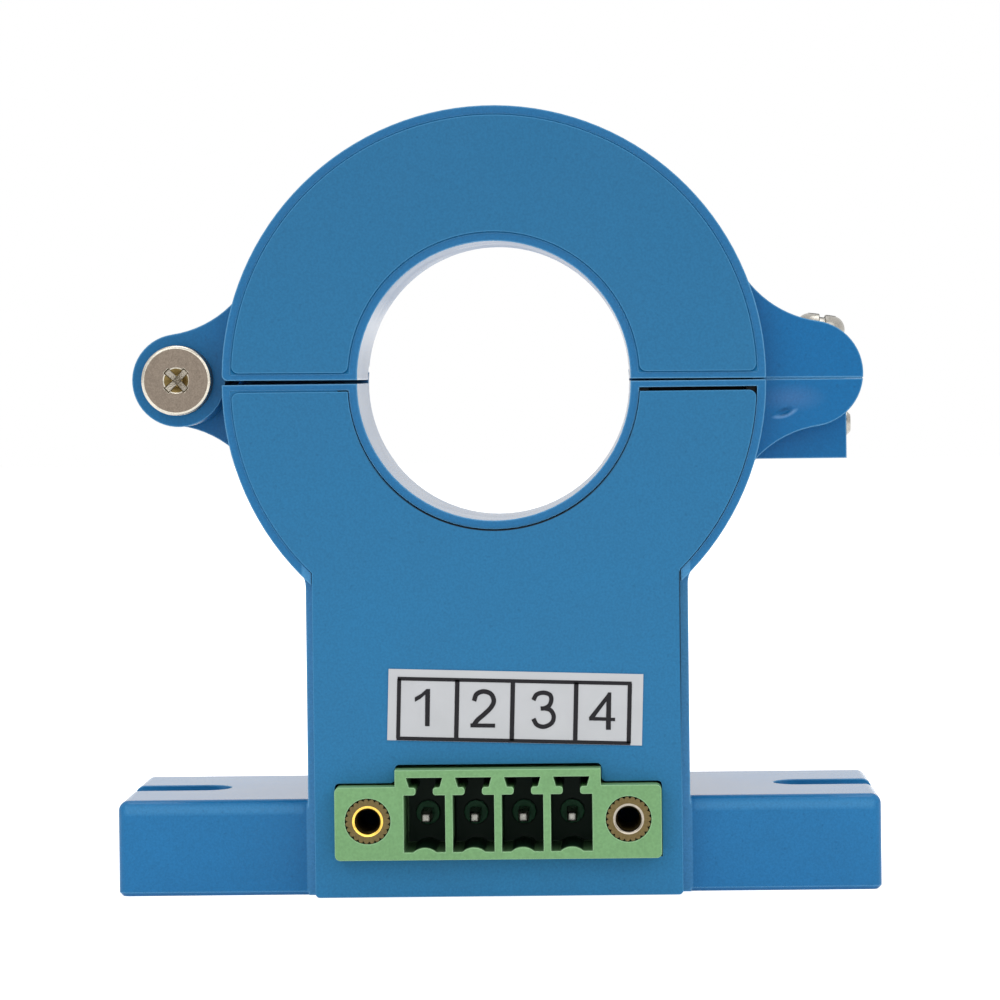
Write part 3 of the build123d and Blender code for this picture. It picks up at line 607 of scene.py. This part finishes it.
@cache
def worn(finish: object) -> bpy.types.Material:
    """Gives the material of a finish, made at the first call."""
    return finish.material()


def dress_nodes() -> None:
    """Gives every CAD node the finish of its own."""
    for finish, names in WORN_BY.items():
        for name in names:
            materials = frame["nodes"][name].data.materials
            if not materials:
                materials.append(worn(finish))
            for index in range(len(materials)):
                materials[index] = worn(finish)
            LOG.info("%s wears %s", name, finish.name)


# Mesh making


def add_mesh(name: str, vertices: np.ndarray, faces: Sequence, finish: object, body: str,
             smooth: float | None = 30.0, painted: Sequence[tuple] = (), replaced: Sequence[str] = ()) -> None:
    """Puts a closed mesh into the scene, dresses it and makes it ride on a body.

    Args:
        name: the piece's name.
        vertices: an array of points, three columns.
        faces: vertex indices of each face.
        finish: the finish that it wears.
        body: the CAD body that it moves with.
        smooth: the angle in degrees up to which edges are smoothed, or None for flat faces.
        painted: pairs of another finish and True for each face that wears it.
        replaced: the CAD nodes that it stands in for.
    """
    mesh = bpy.data.meshes.new(name)
    mesh.from_pydata(np.asarray(vertices, float).tolist(), [], [list(map(int, face)) for face in faces])
    mesh.validate()
    piece = bpy.data.objects.new(name, mesh)
    bpy.context.scene.collection.objects.link(piece)
    mesh.materials.append(worn(finish))
    if smooth is not None:
        mesh.shade_smooth()
        mesh.set_sharp_from_angle(angle=math.radians(smooth))
    indices = np.zeros(len(mesh.polygons), dtype=np.int32)
    for other, chosen in painted:
        mesh.materials.append(worn(other))
        indices[chosen] = len(mesh.materials) - 1
    mesh.polygons.foreach_set("material_index", indices)
    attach(piece, body)
    if replaced:
        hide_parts(*replaced)
    recalculate(mesh)
    LOG.info("%s: %d faces", name, len(mesh.polygons))


def recalculate(mesh: bpy.types.Mesh, merge: float = 1e-7) -> None:
    """Merges doubled points and turns all faces outwards.

    Args:
        mesh: the mesh.
        merge: the distance in metres under which points are one.
    """
    work = bmesh.new()
    work.from_mesh(mesh)
    bmesh.ops.remove_doubles(work, verts=work.verts, dist=merge)
    bmesh.ops.recalc_face_normals(work, faces=work.faces)
    work.to_mesh(mesh)
    work.free()


def grid_faces(rows: int, columns: int) -> np.ndarray:
    """Quads of a grid of points whose rows close on themselves.

    Args:
        rows: rows of points.
        columns: points in a row.

    Returns:
        An array of faces, four indices each.
    """
    i, j = np.meshgrid(np.arange(rows - 1), np.arange(columns), indexing="ij")
    k = (j + 1) % columns
    quads = [i * columns + j, i * columns + k, (i + 1) * columns + k, (i + 1) * columns + j]
    return np.stack([quad.ravel() for quad in quads], axis=1)


def node_box(node: str) -> tuple[np.ndarray, np.ndarray]:
    """A CAD node's lowest and highest corners."""
    low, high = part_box(node)
    return np.array(low), np.array(high)


def turned(x: np.ndarray, z: np.ndarray, angle: float) -> tuple[np.ndarray, np.ndarray]:
    """Coordinates on axes turned by an angle t: x cos t + z sin t, and z cos t - x sin t."""
    cos, sin = math.cos(angle), math.sin(angle)
    return x * cos + z * sin, z * cos - x * sin


def round_angles(columns: int) -> np.ndarray:
    """Angles of one row of points round an axis."""
    return np.linspace(0, 2 * np.pi, columns, endpoint=False)


def thread_wave(depth: np.ndarray | float, pitch: float, angles: np.ndarray) -> np.ndarray:
    """Triangle wave from 0 to 1 down a thread, once for each pitch, turned once round for each pitch."""
    return np.abs((depth / pitch + angles / (2 * np.pi)) % 1.0 - 0.5) * 2


def smooth_step(value: np.ndarray, width: float) -> np.ndarray:
    """Smooth step from 0 at or below 0 to 1 at the width: 3 t^2 - 2 t^3 with t = value / width."""
    t = np.clip(value / width, 0, 1)
    return t * t * (3 - 2 * t)


# Camera, light and floor


@dataclass
class Studio:
    """Camera at the photograph's place, plain soft light, and a white floor that keeps a shadow."""

    eye: tuple = (0.0086, -0.3239, 0.0408)
    aim: tuple = (0.00519, -0.0122, 0.03643)
    roll: float = -0.0112
    lens: float = 144.2
    sensor: float = 36.0
    shift: tuple = (-0.0608, -0.071)
    lamp_aim: tuple = (0, 0, 0.03)
    key: float = 1.9
    lamps: tuple = (("key_left", (-0.5, -0.7, 0.75), 0.6, 1.0), ("fill_right", (0.7, -0.6, 0.5), 0.6, 0.8),
                    ("front_low", (0.0, -1.1, 0.25), 0.5, 0.5), ("above", (0.0, 0.1, 1.1), 0.6, 1.5))
    world_light: float = 0.65
    floor_half: float = 1.5
    floor_light: float = 0.22
    floor_white: float = 0.8

    def build(self) -> None:
        """Builds camera, world, lamps and floor, white behind the object."""
        self.add_camera()
        self.add_world()
        for name, place, size, share in self.lamps:
            lamp = bpy.data.lights.new(name, "AREA")
            lamp.size, lamp.energy = size, self.key * share
            self.put(lamp, place, self.lamp_aim)
        self.add_floor()
        bpy.context.scene.view_settings.view_transform = "Standard"

    def put(self, data: bpy.types.ID, place: tuple, aim: tuple, roll: float = 0.0) -> bpy.types.Object:
        """Puts a camera or lamp into the scene.

        Args:
            data: the camera or lamp.
            place: where it stands.
            aim: what it looks at.
            roll: its turn about its own axis.

        Returns:
            The object that holds it.
        """
        holder = bpy.data.objects.new(data.name, data)
        bpy.context.scene.collection.objects.link(holder)
        look = (Vector(aim) - Vector(place)).to_track_quat("-Z", "Y").to_matrix().to_4x4()
        holder.matrix_world = Matrix.Translation(place) @ look @ Matrix.Rotation(roll, 4, "Z")
        return holder

    def add_camera(self) -> None:
        """Adds the camera that the photograph's perspective gives."""
        camera = bpy.data.cameras.new("camera")
        camera.lens, camera.sensor_width = self.lens, self.sensor
        camera.clip_start = 0.01
        camera.shift_x, camera.shift_y = self.shift
        bpy.context.scene.camera = self.put(camera, self.eye, self.aim, self.roll)

    def add_world(self) -> None:
        """Adds a world that is white to the camera and in reflections, and dimmer as light."""
        recipe = Recipe(bpy.data.worlds.new("world"), "Background")
        bpy.context.scene.world = recipe.dress(Color=(*WHITE, 1), Strength=recipe.seen(self.world_light, 1.0))

    def add_floor(self) -> None:
        """Adds the floor: white to the camera, a little darker where the object shades it."""
        mesh = bpy.data.meshes.new("floor")
        corners = [(x * self.floor_half, y * self.floor_half, 0) for x, y in ((-1, -1), (1, -1), (1, 1), (-1, 1))]
        mesh.from_pydata(corners, [], [(0, 1, 2, 3)])
        floor = bpy.data.objects.new("floor", mesh)
        bpy.context.scene.collection.objects.link(floor)
        recipe = Recipe(bpy.data.materials.new("floor"))
        glow = recipe.seen(self.floor_light, self.floor_white)
        mesh.materials.append(recipe.dress(Base_Color=(*shade(WHITE, self.floor_white), 1), Roughness=1.0,
                                           Specular_IOR_Level=0.0, Emission_Color=(*WHITE, 1), Emission_Strength=glow))


# Screws


@dataclass
class HeadedScrew:
    """Plated screw: a stamped head, a shank and a rolled thread down to a chamfered end.

    Local coordinates are p and q across the axis and w along it, outwards, from the head's seat.
    The four finishes are those of the face, the rim and the recess's sloping sides, the recess's middle and
    the cross's arms: where they differ from the face's, the second and fourth are painted highlights and the third
    painted shade.
    """

    node: str
    body: str
    recess: Recess
    head_radius: float
    head_height: float
    rim_width: float
    rim_drop: float
    shank_radius: float
    thread_from: float
    pitch: float
    cross_reach: float
    cross_depth: float
    cross_turn: float
    finishes: tuple
    shank_length: float = 0.0
    cross_width: float = 0.25
    cross_slopes: tuple = (0.00008, 0.00012)
    cross_taper: float = 0.85
    funnel_reach: float = 0.9
    funnel_slope: float = 0.9
    funnel_depth: float = 0.6
    slot_half: float = 0.00028
    slot_slope: float = 0.00006
    slot_depth: float = 0.00024
    brink: float = 0.00001
    thread_cut: float = 0.5
    end_cut: float = 0.6
    relief: float = 0.0001
    run_out: float = 0.0003
    end_chamfer: tuple = (0.00015, 0.0002)
    thread_steps: int = 6
    columns: int = 192
    fine_rows: int = 50
    plain_rows: int = 15
    rim_rows: int = 10
    origin: np.ndarray = field(default_factory=lambda: np.zeros(3))
    axes: np.ndarray = field(default_factory=lambda: np.eye(3))

    def build(self) -> None:
        """Builds the screw in place of its CAD solid."""
        angles = round_angles(self.columns)
        radii, heights = self.surface(angles)
        p, q = radii * np.cos(angles), radii * np.sin(angles)
        points = self.origin + np.stack([p, q, heights], axis=-1).reshape(-1, 3) @ self.axes
        row = np.repeat(np.arange(len(radii) - 1), self.columns)
        face_rows = self.fine_rows + self.plain_rows - 1
        on_face, corner = row < face_rows, heights[:-1].ravel()
        sunk = on_face & (radii.max(axis=1)[row] < self.cross_reach * 1.05)
        sunk &= corner < self.head_height - self.cross_depth * 0.1
        u, v = turned(p, q, self.cross_turn)
        arms = (np.minimum(np.abs(u), np.abs(v)) < self.cross_reach * self.cross_width * 0.8)[:-1].ravel()
        # painted highlight on the rim and the recess's sloping sides, painted shade in the recess's middle and a
        # painted highlight on the cross's arms
        face, rim, recess_shade, cross_highlight = self.finishes
        painted = [(rim, on_face & (corner < self.head_height - self.brink)), (recess_shade, sunk & ~arms), (cross_highlight, sunk & arms),
                   (rim, ~on_face & (row < face_rows + self.rim_rows))]
        add_mesh(self.node + "_turned", points, grid_faces(len(radii), self.columns), face, self.body,
                 40.0, painted, [self.node])

    def surface(self, angles: np.ndarray) -> tuple[np.ndarray, np.ndarray]:
        """Radius and height of every point, row by row from the head's middle to the shank's end.

        The face drops by the recess. The rim is a quarter of an ellipse. The thread's radius is
        the shank's less a triangle wave of its pitch.

        Args:
            angles: the angle of each column.

        Returns:
            Radii and heights, one row of points each.
        """
        one = np.ones((1, self.columns))
        inner = self.head_radius - self.rim_width
        fine = np.linspace(0, self.cross_reach * 1.15, self.fine_rows)
        plain = np.linspace(self.cross_reach * 1.2, inner, self.plain_rows)
        face = np.concatenate([fine, plain])[:, None] * one
        t = np.linspace(0, np.pi / 2, self.rim_rows + 1)[1:, None]
        rim = (inner + self.rim_width * np.sin(t)) * one
        tops = self.head_height - self.sink(face, angles)
        fall = self.head_height - self.rim_drop * (1 - np.cos(t)) - self.sink(rim, angles)
        steps = np.arange(self.thread_from, self.shank_length - self.run_out, self.pitch / self.thread_steps)[:, None]
        thread = self.shank_radius - self.pitch * self.thread_cut * thread_wave(steps, self.pitch, angles)
        end, (inset, rise) = self.shank_radius - self.pitch * self.end_cut, self.end_chamfer
        rings = [(self.head_radius, 0), (self.shank_radius, 0), (self.shank_radius, -(self.thread_from - self.relief))]
        tail = [(end, -(self.shank_length - rise)), (end - inset, -self.shank_length), (0, -self.shank_length)]
        radii = [face, rim, *(radius * one for radius, _ in rings), thread, *(radius * one for radius, _ in tail)]
        heights = [tops, fall, *(w * one for _, w in rings), -steps * one, *(w * one for _, w in tail)]
        return np.vstack(radii), np.vstack(heights)

    def sink(self, radii: np.ndarray, angles: np.ndarray) -> np.ndarray:
        """Depth of the recess at each point.

        The cross is the deeper of two arms, each a smooth trough that gets shallower towards its
        ends, round a funnel in the middle. A slot is a plain trough right across.

        Args:
            radii: each point's radius.
            angles: the angle of each column.

        Returns:
            Depths, not negative.
        """
        p, q = radii * np.cos(angles), radii * np.sin(angles)
        u, v = turned(p, q, self.cross_turn)
        reach, width = self.cross_reach, self.cross_reach * self.cross_width
        side, end = self.cross_slopes
        arms = []
        for along, across in ((u, v), (v, u)):
            trough = smooth_step(width - np.abs(across), side) * smooth_step(reach - np.abs(along), end)
            arms.append(trough * self.cross_depth * (1 - self.cross_taper * np.abs(along) / reach))
        depth = np.maximum(*arms)
        if self.recess is Recess.CROSS:
            inside = (reach * self.funnel_reach - np.hypot(p, q)) * self.funnel_slope
            return np.maximum(depth, np.clip(inside, 0, self.cross_depth * self.funnel_depth))
        return np.maximum(depth, smooth_step(self.slot_half - np.abs(p), self.slot_slope) * self.slot_depth)


@dataclass
class HingeScrew(HeadedScrew):
    """Cheese-head screw that the jaw turns on."""

    def build(self) -> None:
        """Finds the seat and the length from the CAD screw's box, and builds."""
        low, high = node_box(self.node)
        self.origin = (low + high) / 2
        self.origin[1] = low[1] + self.head_height
        self.shank_length = float(high[1] - self.origin[1])
        self.axes = np.array([[1.0, 0, 0], [0, 0, 1.0], [0, -1.0, 0]])
        super().build()


@dataclass
class ClampScrew(HeadedScrew):
    """Pan-head screw that holds the jaw shut, leaning with the wing's face."""

    washer: float = 0.0003

    def build(self) -> None:
        """Finds the seat from the screw's own joint, and builds."""
        joint = next(joint for joint in frame["record"]["behaviour"]["joints"] if joint["name"] == "clamp_spin")
        outward = np.array(joint["axis"], float)
        outward /= np.linalg.norm(outward)
        depthwise = np.array([0.0, 1.0, 0.0])
        self.axes = np.stack([np.cross(depthwise, outward), depthwise, outward])
        self.origin = np.array(joint["pos_m"], float) + self.washer * outward
        super().build()


# Glue beads and parting lands


def arc(x: float, z: float, radius: float, start: float, end: float, count: int) -> np.ndarray:
    """Points of a circle's arc: x + r cos t, z + r sin t."""
    t = np.linspace(start, end, count)
    return np.stack([x + radius * np.cos(t), z + radius * np.sin(t)], axis=1)


@dataclass
class CoverBead:
    """Bead of glue in the narrow groove round a cover, level with the housing's front.

    The upper cover's is drawn level and turned with the closed jaw's small tilt.
    """

    outer: float = 0.02046
    inner: float = 0.01139
    corner: float = 0.00055
    groove: float = 0.0001
    sharp: float = 0.00005
    front: float = -0.01201
    back: float = -0.0112
    upper_middle: float = 0.04036
    upper_base: float = 0.0408
    lower_middle: float = 0.04
    lower_top: float = 0.03952
    lower_groove: float = 0.00014
    lower_start: float = -0.0122
    lower_end: float = math.pi * 1.248
    latch: tuple = (0.02475, 0.04024)
    tilt: float = math.radians(0.29)

    def build(self) -> None:
        """Builds the upper cover's bead all round, and the lower cover's on its hinge side."""
        groove = self.groove
        near = self.upper(self.outer, self.inner, self.upper_base, self.corner)
        far = self.upper(self.outer + groove, self.inner - groove, self.upper_base - groove, self.sharp)
        self.bar("upper_cover_bead", near, far, JAW, True, self.tilt)
        near = self.lower(self.outer, self.lower_top, self.corner)
        far = self.lower(self.outer + groove, self.lower_top + self.lower_groove, self.sharp)
        self.bar("lower_cover_bead", near, far, LOWER, False, 0.0)

    def bar(self, name: str, near: np.ndarray, far: np.ndarray, body: str, closed: bool, tilt: float) -> None:
        """Builds a four-sided bar between two paths.

        Args:
            name: the piece's name.
            near: the path on the cover's edge.
            far: the path just over the housing's edge, with as many points.
            body: the body that it rides on.
            closed: True if the paths close on themselves.
            tilt: the turn about the latch in radians.
        """
        rows = [self.place(path, y, tilt) for path, y in
                ((near, self.front), (far, self.front), (far, self.back), (near, self.back))]
        count = len(near)
        if closed:
            points = np.stack([*rows, rows[0]]).reshape(-1, 3)
            faces = grid_faces(5, count).tolist()
        else:
            points = np.stack(rows, axis=1).reshape(-1, 3)
            faces = [*grid_faces(count, 4).tolist(), [3, 2, 1, 0], [count * 4 - 4 + i for i in range(4)]]
        add_mesh(name, points, faces, BEAD, body, 40.0)

    def upper(self, outer: float, inner: float, base: float, corner: float) -> np.ndarray:
        """A half ring's outline with four round corners.

        Each corner is an arc that touches the base line and the ring's edge: its centre is one
        corner radius above the base and one inside the edge.

        Args:
            outer: the ring's outer radius.
            inner: its inner radius.
            base: the height of its straight side.
            corner: the corners' radius.

        Returns:
            Points as x and z, in order.
        """
        middle = self.upper_middle
        rise = base + corner - middle
        x_out, x_in = math.sqrt((outer - corner)**2 - rise**2), math.sqrt((inner + corner)**2 - rise**2)
        turn_out, turn_in = math.atan2(rise, x_out), math.atan2(rise, x_in)
        down = 1.5 * math.pi
        return np.vstack([
            arc(0, middle, outer, turn_out, math.pi - turn_out, 120),
            arc(-x_out, middle + rise, corner, math.pi - turn_out, down, 8),
            arc(-x_in, middle + rise, corner, -0.5 * math.pi, -turn_in, 8),
            arc(0, middle, inner, math.pi - turn_in, turn_in, 80),
            arc(x_in, middle + rise, corner, math.pi + turn_in, down, 8),
            arc(x_out, middle + rise, corner, -0.5 * math.pi, turn_out, 8),
        ])

    def lower(self, outer: float, top: float, corner: float) -> np.ndarray:
        """The lower cover's hinge side: its top line, its round corner and its arc down to the neck.

        Args:
            outer: the cover's outer radius.
            top: the height of its top line.
            corner: the corner's radius.

        Returns:
            Points as x and z, in order.
        """
        rise = top - corner - self.lower_middle
        x_out = math.sqrt((outer - corner)**2 - rise**2)
        turn = math.pi + math.atan2(-rise, x_out)
        return np.vstack([
            np.column_stack([np.linspace(self.lower_start, -x_out, 12), np.full(12, top)]),
            arc(-x_out, self.lower_middle + rise, corner, 0.5 * math.pi, turn, 8),
            arc(0, self.lower_middle, outer, turn, self.lower_end, 50),
        ])

    def place(self, path: np.ndarray, y: float, tilt: float) -> np.ndarray:
        """Puts front-view points at a depth, turned by a tilt about the latch."""
        x, z = turned(*(path - self.latch).T, tilt)
        return np.stack([x + self.latch[0], np.full_like(x, y), z + self.latch[1]], axis=1)


@dataclass
class PartingLand:
    """Thin land on a parting face, which meets the other half when the jaw is shut."""

    name: str
    body: str
    x: tuple
    y: tuple
    z: tuple
    chamfer: float = 0.00002

    def build(self) -> None:
        """Builds the land as a bar along X with chamfered long edges."""
        (front, back), (low, high), c = self.y, self.z, self.chamfer
        profile = np.array([(front + c, low), (back - c, low), (back, low + c), (back, high - c),
                            (back - c, high), (front + c, high), (front, high - c), (front, low + c)])
        points = np.vstack([np.column_stack([np.full(8, end), profile]) for end in self.x])
        faces = [*grid_faces(2, 8).tolist(), list(range(8)), list(range(15, 7, -1))]
        add_mesh(self.name, points, faces, HOUSING, self.body)


# Brass inserts


@dataclass
class KnurledInsert:
    """Threaded brass insert with straight knurls, a bright chamfer and a cut thread in its bore."""

    node: str
    chamfer_reflection: object
    teeth: int = 23
    tip: float = 0.00178
    root: float = 0.00158
    bore: float = 0.00100
    thread: float = 0.00012
    pitch: float = 0.0004
    chamfer: float = 0.0002
    rim_width: float = 0.00028
    tooth_power: float = 0.7
    tooth_ends: tuple = (0.00004, 0.00006)
    lap: float = 0.00001
    edge_reach: tuple = (0.00005, 0.0003)
    edge_bevel: tuple = (0.00002, 0.45)
    edge_wall: float = 0.0001
    columns: int = 184
    thread_rows: int = 70

    def build(self) -> None:
        """Builds the sleeve and its chamfer in place of the CAD insert."""
        low, high = node_box(self.node)
        length = float(high[1]) - float(low[1])
        seat = np.array([(low[0] + high[0]) / 2, low[1], (low[2] + high[2]) / 2])
        for name, rows, finish, smooth, replaced in (("_sleeve", self.sleeve(length), BRASS, 35.0, [self.node]),
                                                     ("_edge", self.edge(), self.chamfer_reflection, 60.0, [])):
            points = self.rings(rows) + seat
            add_mesh(self.node + name, points, grid_faces(len(rows), self.columns), finish, LOWER,
                     smooth, replaced=replaced)

    def rings(self, rows: list[tuple]) -> np.ndarray:
        """Rows of points round the axis from each row's radius r and depth: x = r cos a, z = r sin a, y = depth."""
        a = round_angles(self.columns)
        return np.concatenate([np.stack([radius * np.cos(a), np.full_like(a, depth), radius * np.sin(a)], axis=1)
                               for radius, depth in rows])

    def sleeve(self, length: float) -> list[tuple]:
        """Closed sleeve: flat rims, knurled outside and a helical thread inside.

        The knurl's radius is the root plus a rounded tooth, |cos(n a / 2)| to a power under 1.

        Args:
            length: the insert's length.

        Returns:
            Each row's radius and depth.
        """
        a = round_angles(self.columns)
        knurl = self.root + (self.tip - self.root) * np.abs(np.cos(self.teeth * a / 2)) ** self.tooth_power
        inset, short = self.tooth_ends
        blunt = knurl - inset
        rows = [(self.bore + self.chamfer, 0.0), (self.tip - self.rim_width, 0.0), (blunt, 0.0), (knurl, short),
                (knurl, length - short), (blunt, length), (self.bore, length)]
        steps = np.linspace(self.chamfer + self.lap, length, self.thread_rows)[::-1]
        return rows + [(self.bore - self.thread * thread_wave(step, self.pitch, a), step) for step in steps]

    def edge(self) -> list[tuple]:
        """Bright chamfer between the front rim and the bore: a narrow closed ring.

        Returns:
            Each row's radius and depth.
        """
        (wide, deep), (soft, share) = self.edge_reach, self.edge_bevel
        outer, back = self.bore + self.chamfer + wide, self.chamfer + deep
        return [(outer, self.lap), (outer - soft, 0.0), (self.bore + soft, self.chamfer * share),
                (self.bore - self.lap, back), (self.bore + self.edge_wall, back), (outer, self.lap)]


# Number label


@dataclass
class NumberPrint:
    """Black frame, dividers and the numbers 1 to 4, printed on the label above the header.

    Print coordinates u, v are millimetres from the label's middle, along its length and up it.
    """

    turn: float = math.radians(1.8)
    lift: float = 0.00003
    thick: float = 0.000027
    stagger: float = 0.000002
    frame_box: tuple = (-9.08, 8.89, -2.62, 2.04)
    dividers: tuple = (-4.55, -0.22, 4.72)
    corner: float = 0.13
    centre: np.ndarray = field(default_factory=lambda: np.zeros(3))

    def build(self) -> None:
        """Prints the lines and the numbers on the label's front."""
        low, high = node_box("number_label")
        self.centre = (low + high) / 2
        self.centre[1] = low[1]
        made = {name: self.ribbons(strokes) for name, strokes in self.drawing().items()}
        made |= {name: self.plates(outlines) for name, outlines in self.straight_numbers().items()}
        for name, (points, faces) in made.items():
            add_mesh(name, points, faces, INK, LOWER, None)

    def drawing(self) -> dict[str, list]:
        """The strokes of the frame and of the round numbers.

        Returns:
            Piece names and their strokes: pairs of a path and a line width.
        """
        left, right, low, high = self.frame_box
        ends = (left - self.corner, right + self.corner)
        lines = [(np.array([[ends[0], v], [ends[1], v]]), 0.29) for v in (high, low)]
        for u, width in ((left, 0.31), (right, 0.33), *((u, 0.35) for u in self.dividers)):
            lines.append((np.array([[u, low], [u, high]]), width))
        two = [(-3.22, 0.42), (-3.03, 0.95), (-2.49, 1.18), (-1.91, 0.99), (-1.68, 0.47), (-1.88, -0.04),
               (-2.38, -0.57), (-2.91, -1.05), (-3.2, -1.46)]
        top = [(1.4, 0.58), (1.65, 1.02), (2.17, 1.18), (2.66, 1.04), (2.8, 0.67), (2.66, 0.21), (2.31, -0.02),
               (1.98, -0.06)]
        bowl = [(2.25, -0.02), (2.76, -0.18), (3.01, -0.65), (2.86, -1.17), (2.28, -1.47), (1.72, -1.33),
                (1.43, -0.87)]
        return {
            "label_frame": lines,
            "label_number_2": [(self.curve(two), 0.36), (np.array([[-3.46, -1.49], [-1.54, -1.47]]), 0.31)],
            "label_number_3": [(self.curve(top), 0.34), (self.curve(bowl), 0.34)],
        }

    def straight_numbers(self) -> dict[str, list]:
        """Outlines of the numbers that have only straight sides.

        Returns:
            Piece names and their outlines, in order round each.
        """
        one = [(-7.0, -1.63), (-6.64, -1.62), (-6.66, 1.28), (-6.94, 1.28), (-7.34, 0.9), (-7.84, 0.6),
               (-7.83, 0.25), (-7.41, 0.49), (-7.03, 0.84)]
        slope = [(7.09, 1.1), (5.76, -0.66), (5.78, -0.91), (7.09, -0.91), (7.09, -0.64), (6.22, -0.63), (7.09, 0.6)]
        stem = [(7.09, 1.1), (7.21, 1.31), (7.46, 1.31), (7.47, -0.66), (7.8, -0.66), (7.8, -0.92), (7.47, -0.92),
                (7.48, -1.6), (7.1, -1.61), (7.09, -0.91), (7.09, -0.64), (7.09, 0.6)]
        return {"label_number_1": [one], "label_number_4": [slope, stem]}

    def curve(self, knots: Sequence[tuple]) -> np.ndarray:
        """Smooth path through knots: a Catmull-Rom spline, each span a cubic of its four nearest knots.

        Args:
            knots: places along the stroke.

        Returns:
            An array of points, two columns.
        """
        k = np.array(knots)
        k = np.vstack([2 * k[0] - k[1], k, 2 * k[-1] - k[-2]])
        t = np.linspace(0, 1, 12, endpoint=False)[:, None]
        spans = []
        for a, b, c, d in zip(k[:-3], k[1:-2], k[2:-1], k[3:]):
            cubic = (2 * a - 5 * b + 4 * c - d) * t**2 + (3 * b - a - 3 * c + d) * t**3
            spans.append(0.5 * (2 * b + (c - a) * t + cubic))
        return np.vstack([*spans, k[-2][None]])

    def plates(self, outlines: list) -> tuple[np.ndarray, list]:
        """Thin closed plates from outlines: a front, a back and a strip of sides each.

        Args:
            outlines: lists of places in print coordinates.

        Returns:
            Points and faces of all the plates.
        """
        points, faces, start = [], [], 0
        for outline in outlines:
            path, count = np.array(outline), len(outline)
            points += [self.place(path, self.lift), self.place(path, self.lift - self.thick)]
            front = list(range(start, start + count))
            faces += [front, [index + count for index in reversed(front)]]
            faces += (grid_faces(2, count)[:, ::-1] + start).tolist()
            start += 2 * count
        return np.concatenate(points), faces

    def ribbons(self, strokes: list) -> tuple[np.ndarray, np.ndarray]:
        """Thin closed bars along paths: each point is offset both ways along the path's normal.

        Args:
            strokes: pairs of a path and its width in millimetres.

        Returns:
            Points and faces of all the bars.
        """
        points, faces, start = [], [], 0
        for path, width in strokes:
            along = np.gradient(path, axis=0)
            along /= np.linalg.norm(along, axis=1, keepdims=True)
            side = np.stack([-along[:, 1], along[:, 0]], axis=1) * width / 2
            left, right = path + side, path - side
            top, bottom = self.lift + self.stagger * (len(points) % 2), self.lift - self.thick
            rows = [self.place(*row) for row in ((left, top), (right, top), (right, bottom), (left, bottom))]
            points.append(np.stack(rows, axis=1).reshape(-1, 3))
            last = len(path) * 4
            ends = np.array([[3, 2, 1, 0], [last - 4, last - 3, last - 2, last - 1]])
            faces.append(np.vstack([grid_faces(len(path), 4), ends]) + start)
            start += last
        return np.concatenate(points), np.concatenate(faces)

    def place(self, path: np.ndarray, lift: float) -> np.ndarray:
        """Turns print coordinates into places in the frame, a lift in metres in front of the film."""
        x, z = turned(*path.T * MM, self.turn)
        return self.centre + np.stack([x, np.full_like(x, -lift), z], axis=1)


PIECES = (
    HingeScrew(
        "hinge_screw", LOWER, Recess.CROSS, head_radius=0.00273, head_height=0.002, rim_width=0.00024,
        rim_drop=0.00024, shank_radius=0.0015, thread_from=0.0065, pitch=0.0005,
        cross_reach=0.00115, cross_depth=0.0009, cross_turn=math.pi / 4,
        finishes=(NICKEL, NICKEL_HIGHLIGHT, NICKEL_RECESS_SHADE, NICKEL_CROSS_HIGHLIGHT)),
    ClampScrew(
        "clamp_screw", SCREW, Recess.SLOT_AND_CROSS, head_radius=0.00195, head_height=0.0015, rim_width=0.00105,
        rim_drop=0.0011025, shank_radius=0.001, shank_length=0.008, thread_from=0.0016, pitch=0.0004,
        cross_reach=0.00095, cross_depth=0.0008, cross_turn=0.0,
        # the darker nickel in the recess is painted shade
        finishes=(BRIGHT_NICKEL, BRIGHT_NICKEL, NICKEL, BRIGHT_NICKEL)),
    # one chamfer, two painted reflections: gold on the left insert, pale on the right
    KnurledInsert("header_insert_left", GOLD_CHAMFER_REFLECTION),
    KnurledInsert("header_insert_right", PALE_CHAMFER_REFLECTION),
    CoverBead(),
    PartingLand("wing_land", JAW, (0.0203, 0.02882), (-0.00996, -0.0091), (0.04013, 0.0403)),
    PartingLand("tongue_end", LOWER, (-0.02135, -0.0208), (0.0031, 0.00395), (0.0399, 0.0407)),
    NumberPrint(),
)


def main() -> None:
    """Builds the studio and every dressed piece, in order."""
    logging.basicConfig(level=logging.INFO)
    dress_nodes()
    Studio().build()
    for piece in PIECES:
        piece.build()


if __name__ == "__main__":
    main()
